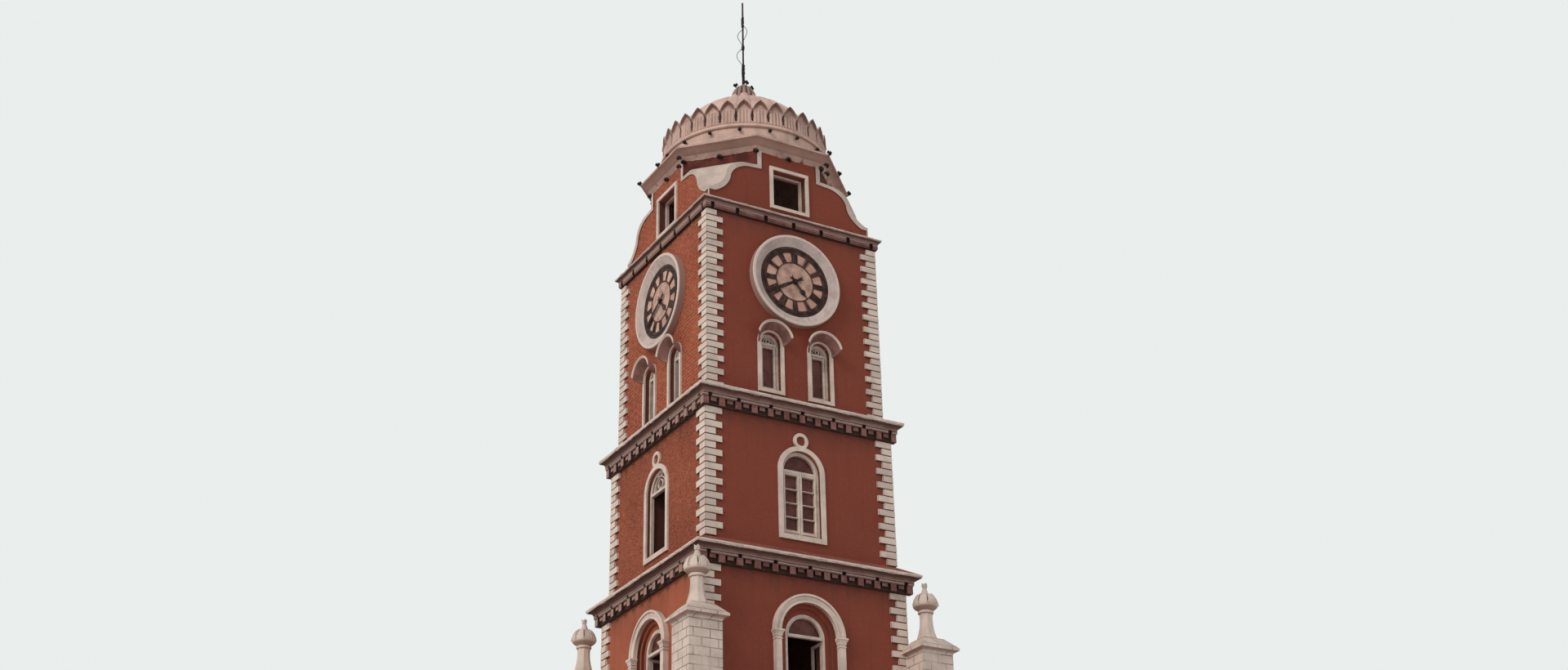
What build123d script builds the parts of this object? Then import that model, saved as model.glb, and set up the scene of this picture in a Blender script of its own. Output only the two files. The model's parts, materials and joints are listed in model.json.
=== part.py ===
"""Clock tower: square brick storeys with quoins and cornices, four dials, an octagonal eave and a dome.

Millimetres. The origin is on the ground under the middle of the tower, +Z is up, and the front faces -Y.
Each face's pieces are drawn once, on the front, and turned about the tower's axis.
"""
from build123d import *
import os
from math import atan2, cos, degrees, hypot, pi, radians, sin, sqrt

# Half width over the lowest walls, how far each storey above stands back, and wall thicknesses
FIRST_HALF = 2308
SECOND_SET_BACK = 105
CLOCK_SET_BACK = 103
ATTIC_SET_BACK = 89
FIRST_WALL = 460
SECOND_WALL = 400
CLOCK_WALL = 350
ATTIC_WALL = 330
FLOOR = 150
SECOND_HALF = FIRST_HALF - SECOND_SET_BACK
CLOCK_HALF = SECOND_HALF - CLOCK_SET_BACK
ATTIC_HALF = CLOCK_HALF - ATTIC_SET_BACK

# Arched bays of the three lower storeys: sill above the storey's foot, sill to springing, springing to its top
GROUND_SILL_UP = 1762
BAY_SILL_UP = 1000
BAY_HEIGHT = 1825
BAY_HEAD = 1544
BAY_HALF = 640
BAY_STEP_HALF = 560
BAY_STEP = 60
ARCHED_WINDOW_HALF = 450
ARCHIVOLT_WIDTH = 175
ARCHIVOLT_OUT = 110
PILASTER_OUT = 120
PILASTER_WIDTH = 130
CAPITAL_HEIGHT = 190
CAPITAL_OUT = 45
ARCHIVOLT_OUTER = BAY_HALF + ARCHIVOLT_WIDTH
GROUND_TOP = GROUND_SILL_UP + BAY_HEIGHT + BAY_HEAD
LOWER_TOP = GROUND_TOP + BAY_SILL_UP + BAY_HEIGHT + BAY_HEAD
FIRST_TOP = LOWER_TOP + BAY_SILL_UP + BAY_HEIGHT + BAY_HEAD

# Second storey window, its architrave and the ring on its crown
SECOND_SILL_UP = 541
SECOND_WINDOW_HEIGHT = 1405
SECOND_WINDOW_HALF = 450
SECOND_HEAD = 1485
SURROUND_WIDTH = 103
SURROUND_OUT = 40
RING_OUTER = 175
RING_INNER = 105
SECOND_WINDOW_SILL = FIRST_TOP + SECOND_SILL_UP
SECOND_WINDOW_SPRING = SECOND_WINDOW_SILL + SECOND_WINDOW_HEIGHT
SECOND_TOP = SECOND_WINDOW_SPRING + SECOND_HEAD

# Small windows of the clock storey and their hoods
SMALL_SILL_UP = 290
SMALL_WINDOW_HEIGHT = 1090
SMALL_WINDOW_OFFSET = 607
SMALL_WINDOW_HALF = 236
SMALL_SURROUND_WIDTH = 80
HOOD_OUT = 265
HOOD_RISE = 115
HOOD_SHELL = 38
HOOD_DROP = 60
HOOD_LIFT = 110
SMALL_WINDOW_SILL = SECOND_TOP + SMALL_SILL_UP
SMALL_WINDOW_SPRING = SMALL_WINDOW_SILL + SMALL_WINDOW_HEIGHT

# Dials: the bezel clears the hoods below it and the cornice above it
BEZEL_RADIUS = 1085
BEZEL_OUT = 170
BEZEL_RIM = 60
BEZEL_ABOVE_HOODS = 66
BEZEL_BELOW_CORNICE = 223
DIAL_RADIUS = 840
DIAL_SEAT = 40
DIAL_LEDGE = 60
DIAL_GLASS = 16
SKELETON = 12
RING_BAR = 22
CHAPTER_INNER = 450
CHAPTER_OUTER = 700
TRACK_RADIUS = 770
TRACK_WIDTH = 18
MINUTES = 60
NUMERAL_THICK = 34
NUMERAL_THIN = 15
NUMERAL_PITCH = 46
NUMERAL_SPREAD = 62
NUMERALS = ("XII", "I", "II", "III", "IIII", "V", "VI", "VII", "VIII", "IX", "X", "XI")
ARBOR_RADIUS = 30
ARBOR_BOSS = 62
HAND_THICK = 10
HAND_GAP = 8
HAND_BORE_CLEARANCE = 0.05
HOUR_HAND = 470
HOUR_STEM = 22
HOUR_SPADE = 60
HOUR_TAIL = 160
MINUTE_HAND = 740
MINUTE_BROAD = 44
MINUTE_POINT = 12
MINUTE_TAIL = 230
MINUTE_ANGLE = 240
HOUR_ANGLE = 140
UPPER_CORNICE_HEIGHT = 258
HOOD_TOP = SMALL_WINDOW_SPRING + SMALL_WINDOW_HALF + SMALL_SURROUND_WIDTH + HOOD_RISE
DIAL_HEIGHT = HOOD_TOP + BEZEL_ABOVE_HOODS + BEZEL_RADIUS
CLOCK_TOP = DIAL_HEIGHT + BEZEL_RADIUS + BEZEL_BELOW_CORNICE + UPPER_CORNICE_HEIGHT

# Plinth and doorway
PLINTH_HEIGHT = 600
PLINTH_OUT = 110
DOOR_HALF = 640

# Cornices: how far each tip stands out of the wall below it, its height, and the slope behind its tip
BASE_CORNICE_OUT = 230
LOWER_CORNICE_OUT = 289
MIDDLE_CORNICE_OUT = 243
UPPER_CORNICE_OUT = 149
LOWER_CORNICE_HEIGHT = 389
MIDDLE_CORNICE_HEIGHT = 428
WEATHERING = 60
LOWER_WEATHERING = 230
DENTIL_PITCHES = 12
DENTIL_SHARE = 0.34
NOTCH = 95

# Quoins: one course, and how far a short and a long stone reach from the corner
QUOIN_COURSE = 158
QUOIN_OUT = 35
QUOIN_SHORT = 265
QUOIN_LONG = 410
QUOIN_GAP = 0.3

# Attic windows, and the ogee of the corner roofs, all above the clock storey's top
ATTIC_WINDOW_HALF = 415
ATTIC_SILL_UP = 312
ATTIC_WINDOW_HEIGHT = 910
ATTIC_SURROUND_WIDTH = 80
ATTIC_FRAME_BACK = 150
COPING_WIDTH = 75
COPING_OUT = 25
OGEE_FOOT = 375
OGEE_MIDDLE = 810
OGEE_HEAD = 1240
ATTIC_HEIGHT = 1652
ATTIC_WINDOW_SILL = CLOCK_TOP + ATTIC_SILL_UP
ATTIC_WINDOW_HEAD = ATTIC_WINDOW_SILL + ATTIC_WINDOW_HEIGHT

# Window joinery and glass
FRAME_WIDTH = 50
FRAME_DEPTH = 70
TRANSOM = 60
GLASS = 8
LEAF_THICK = 40
LEAF_STILE = 60
LEAF_PLAY = 4
SECOND_FRAME_BACK = 60
SMALL_FRAME_BACK = 90

# Corner piers and pinnacles: heights below the first storey's top, then each above the last
PIER_OUT = 312
PIER_HALF = 355
PIER_BELOW_CORNICE = 1759
PIER_PLINTH_OUT = 50
CAP_HALF = 460
CAP_COVE = 140
CAP_SLOPE = 220
CAP_FASCIA = 50
PINNACLE_FOOT_HALF = 200
PINNACLE_SHAFT_HALF = 128
PINNACLE_SHAFT = 590
NECK_RADIUS = 165
NECK_ROLL = 35
BUD_RADIUS = 255
BUD_BELLY = 130
BUD_HEIGHT = 510
BUD_PETALS = 8
BUD_SLIT = 16
PIER_CENTRE = FIRST_HALF + PIER_OUT
PIER_TOP = FIRST_TOP - PIER_BELOW_CORNICE
CAP_TIP = PIER_TOP + CAP_COVE
CAP_TOP = CAP_TIP + CAP_SLOPE
NECK_HEIGHT = CAP_TOP + PINNACLE_SHAFT
BUD_WIDEST = NECK_HEIGHT + BUD_BELLY
BUD_TIP = BUD_WIDEST + BUD_HEIGHT

# Eave, drum, dome, lotus band and finial
EAVE_OUT = 244
EAVE_HEIGHT = 240
EAVE_FASCIA = 45
EAVE_RING = 430
DRUM_IN = 325
DRUM_HEIGHT = 480
ROLL_RADIUS = 55
DOME_IN = 80
DOME_RISE = 180
DOME_SHELL = 140
GORE_GROOVE = 14
GORE_DEPTH = 12
PETALS = 24
PETAL_HEIGHT = 670
PETAL_SHOULDER = 410
PETAL_FOOT = 170
PETAL_THICK = 72
PETAL_LEAN = 38
PLEAT_ANGLE = 2.4
PETAL_SLIT = 34
PLEAT_DEPTH = 20
CROWN_PETALS = 12
CROWN_PETAL_RADIUS = 95
CROWN_RADIUS = 300
CUP_HEIGHT = 410
CUP_RADIUS = 290
CUP_NECK = 150
CUP_FLUTES = 12
FLUTE_RADIUS = 74
MAST_RADIUS = 22
MAST_LENGTH = 2410
EAVE_UNDERSIDE = CLOCK_TOP + ATTIC_HEIGHT
EAVE_TOP = EAVE_UNDERSIDE + EAVE_HEIGHT
EAVE_HALF = ATTIC_HALF + EAVE_OUT
DRUM_RADIUS = EAVE_HALF - DRUM_IN
DRUM_TOP = EAVE_TOP + DRUM_HEIGHT
EAVE_OPENING = DRUM_RADIUS - EAVE_RING
DOME_FOOT = DRUM_TOP + 2 * ROLL_RADIUS
DOME_RADIUS = DRUM_RADIUS - DOME_IN
DOME_CENTRE = DRUM_TOP + DOME_RISE
CUP_FOOT = DOME_CENTRE + DOME_RADIUS + 10
CUP_TOP = CUP_FOOT + CUP_HEIGHT

# Festoon lamps round the drum and under the eave
LAMP_RADIUS = 46
LAMP_STEM = 16
LAMP_REACH = 70
DRUM_LAMPS = 18
DRUM_LAMP_UP = 400
DRUM_LAMP_START = 308

FACE_TURNS = (0, 90, 180, 270)


# ---------------------------------------------------------------- helpers

def block(x, y, z):
    """Box between a low and a high limit along each axis."""
    size = [high - low for low, high in (x, y, z)]
    middle = [(high + low) / 2 for low, high in (x, y, z)]
    return Pos(*middle) * Box(*size)


def turned(shape, turns=FACE_TURNS):
    """Copies of a shape turned about the tower's axis."""
    return [shape.rotate(Axis.Z, turn) for turn in turns]


def save(name, *shapes):
    """Write every solid of the shapes as one node."""
    solids = [solid for shape in shapes for solid in shape.solids()]
    whole = solids[0] if len(solids) == 1 else Compound(solids)
    export_step(whole, f"parts/{name}.step")


def joined(shapes):
    """One shape from several that overlap or touch."""
    first, *rest = shapes
    return first.fuse(*rest) if rest else first


def path_edges(path):
    """Edges along a path. A step that is a pair of points is an arc, by its middle and its end."""
    edges = []
    here = path[0]
    for step in path[1:]:
        if isinstance(step[0], tuple):
            edges.append(ThreePointArc(here, step[0], step[1]))
            here = step[1]
        else:
            edges.append(Line(here, step))
            here = step
    return edges, here


def moulded(path, sides=4):
    """Solid whose every side has the same half profile of (distance out, height), mitred at the corners."""
    edges, last = path_edges(path)
    first = path[0]
    mirrored = [edge.mirror(Plane.YZ) for edge in edges]
    top = Line(last, (-last[0], last[1]))
    bottom = Line(first, (-first[0], first[1]))
    section = make_face(edges + mirrored + [top, bottom])
    reach = 1.2 * max(edge.bounding_box().max.X for edge in edges)
    prism = extrude(Plane.XZ * section, amount=reach, both=True)
    solid = prism
    for side in range(1, sides // 2):
        solid = solid & prism.rotate(Axis.Z, side * 360 / sides)
    return solid


def arched(half, sill, spring, outer, inner, x=0):
    """Round-headed prism on the front face, from the outer to the inner distance off the tower's axis."""
    edges, last = path_edges([(-half, sill), (half, sill), (half, spring), ((0, spring + half), (-half, spring))])
    section = make_face(edges + [Line(last, (-half, sill))])
    return Pos(x, -inner, 0) * extrude(Plane.XZ * section, amount=outer - inner)


def disc(radius, height, outer, inner, x=0):
    """Round plate on the front face, with its axis at the stated height."""
    length = outer - inner
    return Pos(x, -(outer + inner) / 2, height) * Rot(90, 0, 0) * Cylinder(radius, length)


def wall_pair(half, thickness, bottom, top, cut, sides):
    """Two opposite walls with the same openings: the full-width pair, or the pair between them."""
    reach = half - thickness if sides else half
    slab = block((-reach, reach), (-half, thickness - half), (bottom, top))
    return turned(slab - cut, (90, 270) if sides else (0, 180))


def half_round(points):
    """Closed face from a path of (distance out, height) that starts and ends on one straight side."""
    edges, last = path_edges(points)
    return make_face(edges + [Line(last, points[0])])


def mirrored_face(path):
    """Face between a path of (half width, height) and its mirror image."""
    edges, last = path_edges(path)
    mirrored = [edge.mirror(Plane.YZ) for edge in edges]
    ends = [Line(end, (-end[0], end[1])) for end in (path[0], last) if end[0] > 0]
    return make_face(edges + mirrored + ends)


def ring_of(shape, count, start=0):
    """Copies of a shape evenly spaced about the tower's axis."""
    return [shape.rotate(Axis.Z, start + index * 360 / count) for index in range(count)]


# ---------------------------------------------------------------- walls

def bay_cut(top, window=True):
    """Stepped arched recess of a lower storey, with its window or doorway through the wall."""
    spring = top - BAY_HEAD
    sill = spring - BAY_HEIGHT
    inside = FIRST_HALF - FIRST_WALL - 1
    if not window:
        return arched(DOOR_HALF, 0, spring, FIRST_HALF + 1, inside)
    first_step = FIRST_HALF - BAY_STEP
    second_step = first_step - BAY_STEP
    outer = arched(BAY_HALF, sill, spring, FIRST_HALF + 1, first_step)
    middle = arched(BAY_STEP_HALF, sill, spring, first_step + 1, second_step)
    hole = arched(ARCHED_WINDOW_HALF, sill, spring, second_step + 1, inside)
    return joined([outer, middle, hole])


def ground_front():
    """Front wall beside and over the doorway."""
    low, high = -FIRST_HALF, FIRST_WALL - FIRST_HALF
    spring = GROUND_TOP - BAY_HEAD
    left = block((-FIRST_HALF, -DOOR_HALF), (low, high), (0, GROUND_TOP))
    right = block((DOOR_HALF, FIRST_HALF), (low, high), (0, GROUND_TOP))
    over = block((-DOOR_HALF, DOOR_HALF), (low, high), (spring, GROUND_TOP))
    return left, right, over - bay_cut(GROUND_TOP, window=False)


def walls():
    """Every storey's walls, from the ground to the upper cornice."""
    left, right, over = ground_front()
    save("ground_front_left_wall", left)
    save("ground_front_right_wall", right)
    save("ground_front_arch_wall", over)
    back, _ = wall_pair(FIRST_HALF, FIRST_WALL, 0, GROUND_TOP, bay_cut(GROUND_TOP), False)
    save("ground_back_wall", back.rotate(Axis.Z, 180))
    save("ground_side_walls", *wall_pair(FIRST_HALF, FIRST_WALL, 0, GROUND_TOP, bay_cut(GROUND_TOP), True))
    storeys = (
        ("lower", FIRST_HALF, FIRST_WALL, GROUND_TOP, LOWER_TOP, bay_cut(LOWER_TOP)),
        ("first", FIRST_HALF, FIRST_WALL, LOWER_TOP, FIRST_TOP, bay_cut(FIRST_TOP)),
        ("second", SECOND_HALF, SECOND_WALL, FIRST_TOP, SECOND_TOP, second_window_cut()),
        ("clock", CLOCK_HALF, CLOCK_WALL, SECOND_TOP, CLOCK_TOP, small_window_cut()),
    )
    for name, half, thickness, bottom, top, cut in storeys:
        save(f"{name}_front_back_walls", *wall_pair(half, thickness, bottom, top, cut, False))
        save(f"{name}_side_walls", *wall_pair(half, thickness, bottom, top, cut, True))


def second_window_cut():
    """Window hole of the second storey."""
    inside = SECOND_HALF - SECOND_WALL - 1
    return arched(SECOND_WINDOW_HALF, SECOND_WINDOW_SILL, SECOND_WINDOW_SPRING, SECOND_HALF + 1, inside)


def small_window_cut():
    """The pair of narrow window holes under a dial."""
    inside = CLOCK_HALF - CLOCK_WALL - 1
    holes = [
        arched(SMALL_WINDOW_HALF, SMALL_WINDOW_SILL, SMALL_WINDOW_SPRING, CLOCK_HALF + 1, inside, x)
        for x in (-SMALL_WINDOW_OFFSET, SMALL_WINDOW_OFFSET)
    ]
    return Compound(holes)


def floors():
    """Ground slab, and a floor at the head of each room below the attic."""
    levels = (
        (FIRST_HALF - FIRST_WALL, FLOOR),
        (FIRST_HALF - FIRST_WALL, LOWER_TOP),
        (FIRST_HALF - FIRST_WALL, FIRST_TOP),
        (SECOND_HALF - SECOND_WALL, SECOND_TOP),
        (CLOCK_HALF - CLOCK_WALL, CLOCK_TOP),
    )
    slabs = [block((-half, half), (-half, half), (top - FLOOR, top)) for half, top in levels]
    save("floors", *slabs)


def plinth():
    """Base course round the ground storey, open at the doorway and stopped against the piers."""
    half = FIRST_HALF + PLINTH_OUT
    ring = block((-half, half), (-half, half), (0, PLINTH_HEIGHT))
    ring = ring - block((-FIRST_HALF, FIRST_HALF), (-FIRST_HALF, FIRST_HALF), (-1, PLINTH_HEIGHT + 1))
    ring = ring - block((-DOOR_HALF, DOOR_HALF), (-half - 1, 0), (-1, PLINTH_HEIGHT + 1))
    save("plinth", ring - Compound(pier_outlines(PIER_PLINTH_OUT)))


# ---------------------------------------------------------------- quoins and cornices

def quoin_stack(half, bottom, top, long_foot):
    """Alternate long and short corner stones of one storey, at the near left corner."""
    count = 2 * round((top - bottom) / (2 * QUOIN_COURSE))
    course = (top - bottom) / count
    face = half + QUOIN_OUT
    low = bottom + QUOIN_GAP
    short = (-face, QUOIN_SHORT - half)
    long = (-face, QUOIN_LONG - half)
    stones = [block(short, short, (low, top))]
    for index in range(0 if long_foot else 1, count, 2):
        stones.append(block(long, long, (max(low, bottom + index * course), bottom + (index + 1) * course)))
    return joined(stones) - block((-half, half), (-half, half), (bottom, top + 1))


def quoins():
    """Corner stones of every storey below the attic."""
    storeys = (
        (FIRST_HALF, PLINTH_HEIGHT, GROUND_TOP - LOWER_CORNICE_HEIGHT, False),
        (FIRST_HALF, GROUND_TOP + WEATHERING, LOWER_TOP - LOWER_CORNICE_HEIGHT, False),
        (FIRST_HALF, LOWER_TOP + WEATHERING, FIRST_TOP - LOWER_CORNICE_HEIGHT, False),
        (SECOND_HALF, FIRST_TOP + LOWER_WEATHERING, SECOND_TOP - MIDDLE_CORNICE_HEIGHT, False),
        (CLOCK_HALF, SECOND_TOP + WEATHERING, CLOCK_TOP - UPPER_CORNICE_HEIGHT, True),
    )
    save("quoins", *[quoin for storey in storeys for quoin in turned(quoin_stack(*storey))])


def cornice_shape(wall, out, top, height):
    """Heights and distances off the axis that a cornice's ring, blocks and dentils share."""
    underside = top - height
    bed = wall + 0.25 * out
    band = wall + 0.58 * out
    return {
        "underside": underside,
        "bed": bed,
        "band": band,
        "band_under": underside + 0.40 * height,
        "band_step": underside + 0.46 * height,
        "band_top": underside + 0.60 * height,
        "nose_under": top - 0.17 * height,
        "top": top,
        "tip": wall + out,
    }


def cornice_ring(wall, shape, slope_half, slope):
    """Moulded ring of a cornice: bed, band, cove, nose and sloped top."""
    band = shape["band"]
    cove_end = (shape["tip"] - 12, shape["nose_under"])
    cove_middle = (
        band + 0.22 * (cove_end[0] - band) + 4,
        shape["band_top"] + 0.62 * (shape["nose_under"] - shape["band_top"]),
    )
    return moulded([
        (shape["bed"], shape["underside"]),
        (shape["bed"], shape["band_under"]),
        (band - 14, shape["band_under"]),
        (band - 14, shape["band_step"]),
        (band, shape["band_step"]),
        (band, shape["band_top"]),
        (cove_middle, cove_end),
        (shape["tip"], shape["nose_under"]),
        (shape["tip"], shape["top"]),
        (slope_half, shape["top"] + slope),
    ])


def notches(shape):
    """Gaps that split one side's band into long blocks."""
    pitch = 2 * shape["bed"] / DENTIL_PITCHES
    blocks = DENTIL_PITCHES // 2
    cuts = []
    for index in range(blocks + 1):
        middle = (2 * index - blocks) * pitch
        inset = shape["bed"] - NOTCH
        middle = max(min(middle, inset), -inset)
        cuts.append(block((middle - NOTCH / 2, middle + NOTCH / 2), (-shape["tip"], -shape["bed"] - 5),
                          (shape["underside"] - 1, shape["band_top"])))
    return cuts


def dentils(wall, shape):
    """One side's dentils: long ones hung at every pitch, with short ones set back between them."""
    pitch = 2 * shape["bed"] / DENTIL_PITCHES
    half = DENTIL_SHARE * pitch / 2
    face = shape["band"] - 20
    back = face - 22
    half_height = (shape["underside"] + shape["band_under"]) / 2
    teeth = []
    for index in range(DENTIL_PITCHES + 1):
        middle = index * pitch - shape["bed"]
        middle = max(min(middle, face - half), half - face)
        teeth.append(block((middle - half, middle + half), (-face, -wall), (shape["underside"], shape["band_under"])))
    for index in range(DENTIL_PITCHES):
        middle = (index + 0.5) * pitch - shape["bed"]
        teeth.append(block((middle - half, middle + half), (-back, -wall), (half_height, shape["band_under"])))
    return teeth


def cornice(wall, out, top, height, wall_above, slope, toothed=True):
    """Square cornice ring on the wall: its band in long blocks, with dentils under it where it has them."""
    shape = cornice_shape(wall, out, top, height)
    if not toothed:
        shape["bed"] = wall + 5
        shape["band_under"] = shape["underside"] + 15
        shape["band_step"] = shape["underside"] + 45
    solid = cornice_ring(wall, shape, wall_above, slope)
    solid = solid.cut(*[cut for gap in notches(shape) for cut in turned(gap)])
    if toothed:
        solid = solid.fuse(*[tooth for one in dentils(wall, shape) for tooth in turned(one)])
    below = block((-wall, wall), (-wall, wall), (shape["underside"] - 1, top))
    above = block((-wall_above, wall_above), (-wall_above, wall_above), (top - 1, top + slope + 1))
    return solid - below - above


def cornices():
    """The two base cornices between the piers, and the three that run right round."""
    posts = Compound(pier_outlines(0))
    base = [
        cornice(FIRST_HALF, BASE_CORNICE_OUT, top, LOWER_CORNICE_HEIGHT, FIRST_HALF, WEATHERING) - posts
        for top in (GROUND_TOP, LOWER_TOP)
    ]
    save("base_cornices", *base)
    lower = cornice(FIRST_HALF, LOWER_CORNICE_OUT, FIRST_TOP, LOWER_CORNICE_HEIGHT, SECOND_HALF, LOWER_WEATHERING)
    middle = cornice(SECOND_HALF, MIDDLE_CORNICE_OUT, SECOND_TOP, MIDDLE_CORNICE_HEIGHT, CLOCK_HALF, WEATHERING)
    upper = cornice(CLOCK_HALF, UPPER_CORNICE_OUT, CLOCK_TOP, UPPER_CORNICE_HEIGHT, ATTIC_HALF, WEATHERING, False)
    save("lower_cornice", lower)
    save("middle_cornice", middle)
    save("upper_cornice", upper)


# ---------------------------------------------------------------- corner piers and pinnacles

def pier_outlines(out):
    """Space of the four piers, wider all round by the stated amount at their plinths."""
    half = PIER_HALF + out
    limits = (-PIER_CENTRE - half, half - PIER_CENTRE)
    return turned(block(limits, limits, (-1, PIER_TOP)))


def corner_piers():
    """Square piers with moulded caps, notched round the tower's corners."""
    limits = (-PIER_CENTRE - PIER_HALF, PIER_HALF - PIER_CENTRE)
    base_half = PIER_HALF + PIER_PLINTH_OUT
    base = (-PIER_CENTRE - base_half, base_half - PIER_CENTRE)
    shaft = block(limits, limits, (0, PIER_TOP)) + block(base, base, (0, PLINTH_HEIGHT))
    cap = Pos(-PIER_CENTRE, -PIER_CENTRE, 0) * moulded([
        (PIER_HALF, PIER_TOP),
        ((PIER_HALF + 30, PIER_TOP + 60), (CAP_HALF - 15, CAP_TIP - CAP_FASCIA)),
        (CAP_HALF, CAP_TIP - CAP_FASCIA),
        (CAP_HALF, CAP_TIP),
        (PINNACLE_FOOT_HALF + 40, CAP_TOP),
    ])
    notch_half = FIRST_HALF + QUOIN_OUT
    notch = block((-notch_half, notch_half), (-notch_half, notch_half), (-1, CAP_TOP + 1))
    save("corner_piers", *turned(joined([shaft, cap]) - notch))


def bud():
    """Neck ring and lotus bud, slit between its petals."""
    neck, neck_top = path_edges([
        (0, NECK_HEIGHT - 40),
        (NECK_RADIUS - 25, NECK_HEIGHT - 40),
        ((NECK_RADIUS, NECK_HEIGHT), (NECK_RADIUS - 25, NECK_HEIGHT + NECK_ROLL)),
    ])
    shoulder = (0.62 * BUD_RADIUS, BUD_WIDEST + 0.45 * (BUD_TIP - BUD_WIDEST))
    flank = Spline(neck_top, (BUD_RADIUS, BUD_WIDEST), shoulder, (0, BUD_TIP), tangents=((1, 0.6), (-0.3, 1)))
    axis = Line((0, BUD_TIP), (0, NECK_HEIGHT - 40))
    whole = revolve(Plane.XZ * make_face(neck + [flank, axis]), Axis.Z)
    leaf_top = BUD_WIDEST + 0.62 * BUD_HEIGHT
    slit = mirrored_face([
        (0, BUD_WIDEST + 20),
        ((BUD_SLIT, BUD_WIDEST + 0.25 * BUD_HEIGHT), (0, leaf_top)),
    ])
    cutter = Pos(0, -0.55 * BUD_RADIUS, 0) * extrude(Plane.XZ * slit, amount=BUD_RADIUS)
    return whole.cut(*ring_of(cutter, BUD_PETALS, 180 / BUD_PETALS))


def pinnacles():
    """Flared octagonal shafts with a neck ring and a lotus bud."""
    shaft = moulded([
        (PINNACLE_FOOT_HALF, CAP_TOP),
        (PINNACLE_FOOT_HALF - 10, CAP_TOP + 60),
        ((PINNACLE_SHAFT_HALF + 12, CAP_TOP + 250), (PINNACLE_SHAFT_HALF, NECK_HEIGHT - 40)),
        (PINNACLE_SHAFT_HALF, NECK_HEIGHT + 10),
    ], 8)
    pinnacle = Pos(-PIER_CENTRE, -PIER_CENTRE, 0) * joined([shaft, bud()])
    save("pinnacles", *turned(pinnacle))


# ---------------------------------------------------------------- windows

def capital(centre, spring):
    """Impost of a pilaster: two fillets, and a block that flares to its top."""
    foot = spring - CAPITAL_HEIGHT
    half = PILASTER_WIDTH / 2
    flare = [
        (0, foot),
        (12, foot),
        (12, foot + 22),
        (0, foot + 22),
        (0, foot + 62),
        (12, foot + 62),
        (12, foot + 84),
        (8, foot + 84),
        ((20, foot + 115), (CAPITAL_OUT, spring - 30)),
        (CAPITAL_OUT, spring),
    ]
    across = mirrored_face(shifted(flare, half))
    front = half_round([(0, foot)] + shifted(flare, PILASTER_OUT) + [(0, spring)])
    wide = Pos(centre, 0, 0) * extrude(Plane.XZ * across, amount=FIRST_HALF + 2 * PILASTER_OUT)
    reach = half + 2 * CAPITAL_OUT
    deep = Pos(centre, -FIRST_HALF, 0) * extrude(Plane.YZ * front.mirror(Plane.YZ), amount=reach, both=True)
    return wide & deep


def shifted(path, out):
    """Path with every point moved out from the axis."""
    moved = []
    for step in path:
        if isinstance(step[0], tuple):
            moved.append(tuple((point[0] + out, point[1]) for point in step))
        else:
            moved.append((step[0] + out, step[1]))
    return moved


def arch_surround(top, foot):
    """Archivolt on two pilasters with capitals, round a lower storey's bay."""
    spring = top - BAY_HEAD
    section = half_round([
        (BAY_HALF, 0),
        (BAY_HALF, ARCHIVOLT_OUT - 20),
        (BAY_HALF + 45, ARCHIVOLT_OUT - 20),
        (BAY_HALF + 60, ARCHIVOLT_OUT - 45),
        (ARCHIVOLT_OUTER - 55, ARCHIVOLT_OUT - 25),
        (ARCHIVOLT_OUTER - 45, ARCHIVOLT_OUT),
        (ARCHIVOLT_OUTER, ARCHIVOLT_OUT),
        (ARCHIVOLT_OUTER, 0),
    ])
    ring = revolve(section, Axis.Y, revolution_arc=180)
    pieces = [Pos(0, -FIRST_HALF, spring) * Rot(180, 0, 0) * ring]
    middle = (BAY_HALF + ARCHIVOLT_OUTER) / 2
    for centre in (-middle, middle):
        edges = (centre - PILASTER_WIDTH / 2, centre + PILASTER_WIDTH / 2)
        pieces.append(block(edges, (-FIRST_HALF - PILASTER_OUT, -FIRST_HALF), (foot, spring - CAPITAL_HEIGHT)))
        pieces.append(capital(centre, spring))
    return joined(pieces)


def arch_surrounds():
    """Surrounds of the twelve bays."""
    feet = ((GROUND_TOP, PLINTH_HEIGHT), (LOWER_TOP, GROUND_TOP + WEATHERING), (FIRST_TOP, LOWER_TOP + WEATHERING))
    save("arch_surrounds", *[s for top, foot in feet for s in turned(arch_surround(top, foot))])


def arched_frame(half, sill, spring, outer, leaves, x=0):
    """Round-headed frame with a transom at the springing, and closed leaves where they are asked for."""
    inner = outer - FRAME_DEPTH
    frame = arched(half, sill, spring, outer, inner, x)
    clear = half - FRAME_WIDTH
    light_foot = sill + FRAME_WIDTH
    transom_foot = spring - TRANSOM / 2
    transom_head = spring + TRANSOM / 2
    fan = arched(clear, light_foot, spring, outer + 1, inner - 1, x)
    bar = block((x - half, x + half), (-outer, -inner), (transom_foot, transom_head))
    frame = (frame - fan) + (bar & arched(half, sill, spring, outer, inner, x))
    if leaves:
        stile = FRAME_WIDTH
        post = block((x - stile, x + stile), (10 - outer, -inner), (light_foot, transom_foot))
        rail = block((x - clear, x + clear), (10 - outer, -inner), (light_foot, light_foot + 1.6 * stile))
        head = block((x - clear, x + clear), (10 - outer, -inner), (transom_foot - stile, transom_foot))
        frame = joined([frame, post, rail, head])
    return frame


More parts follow.
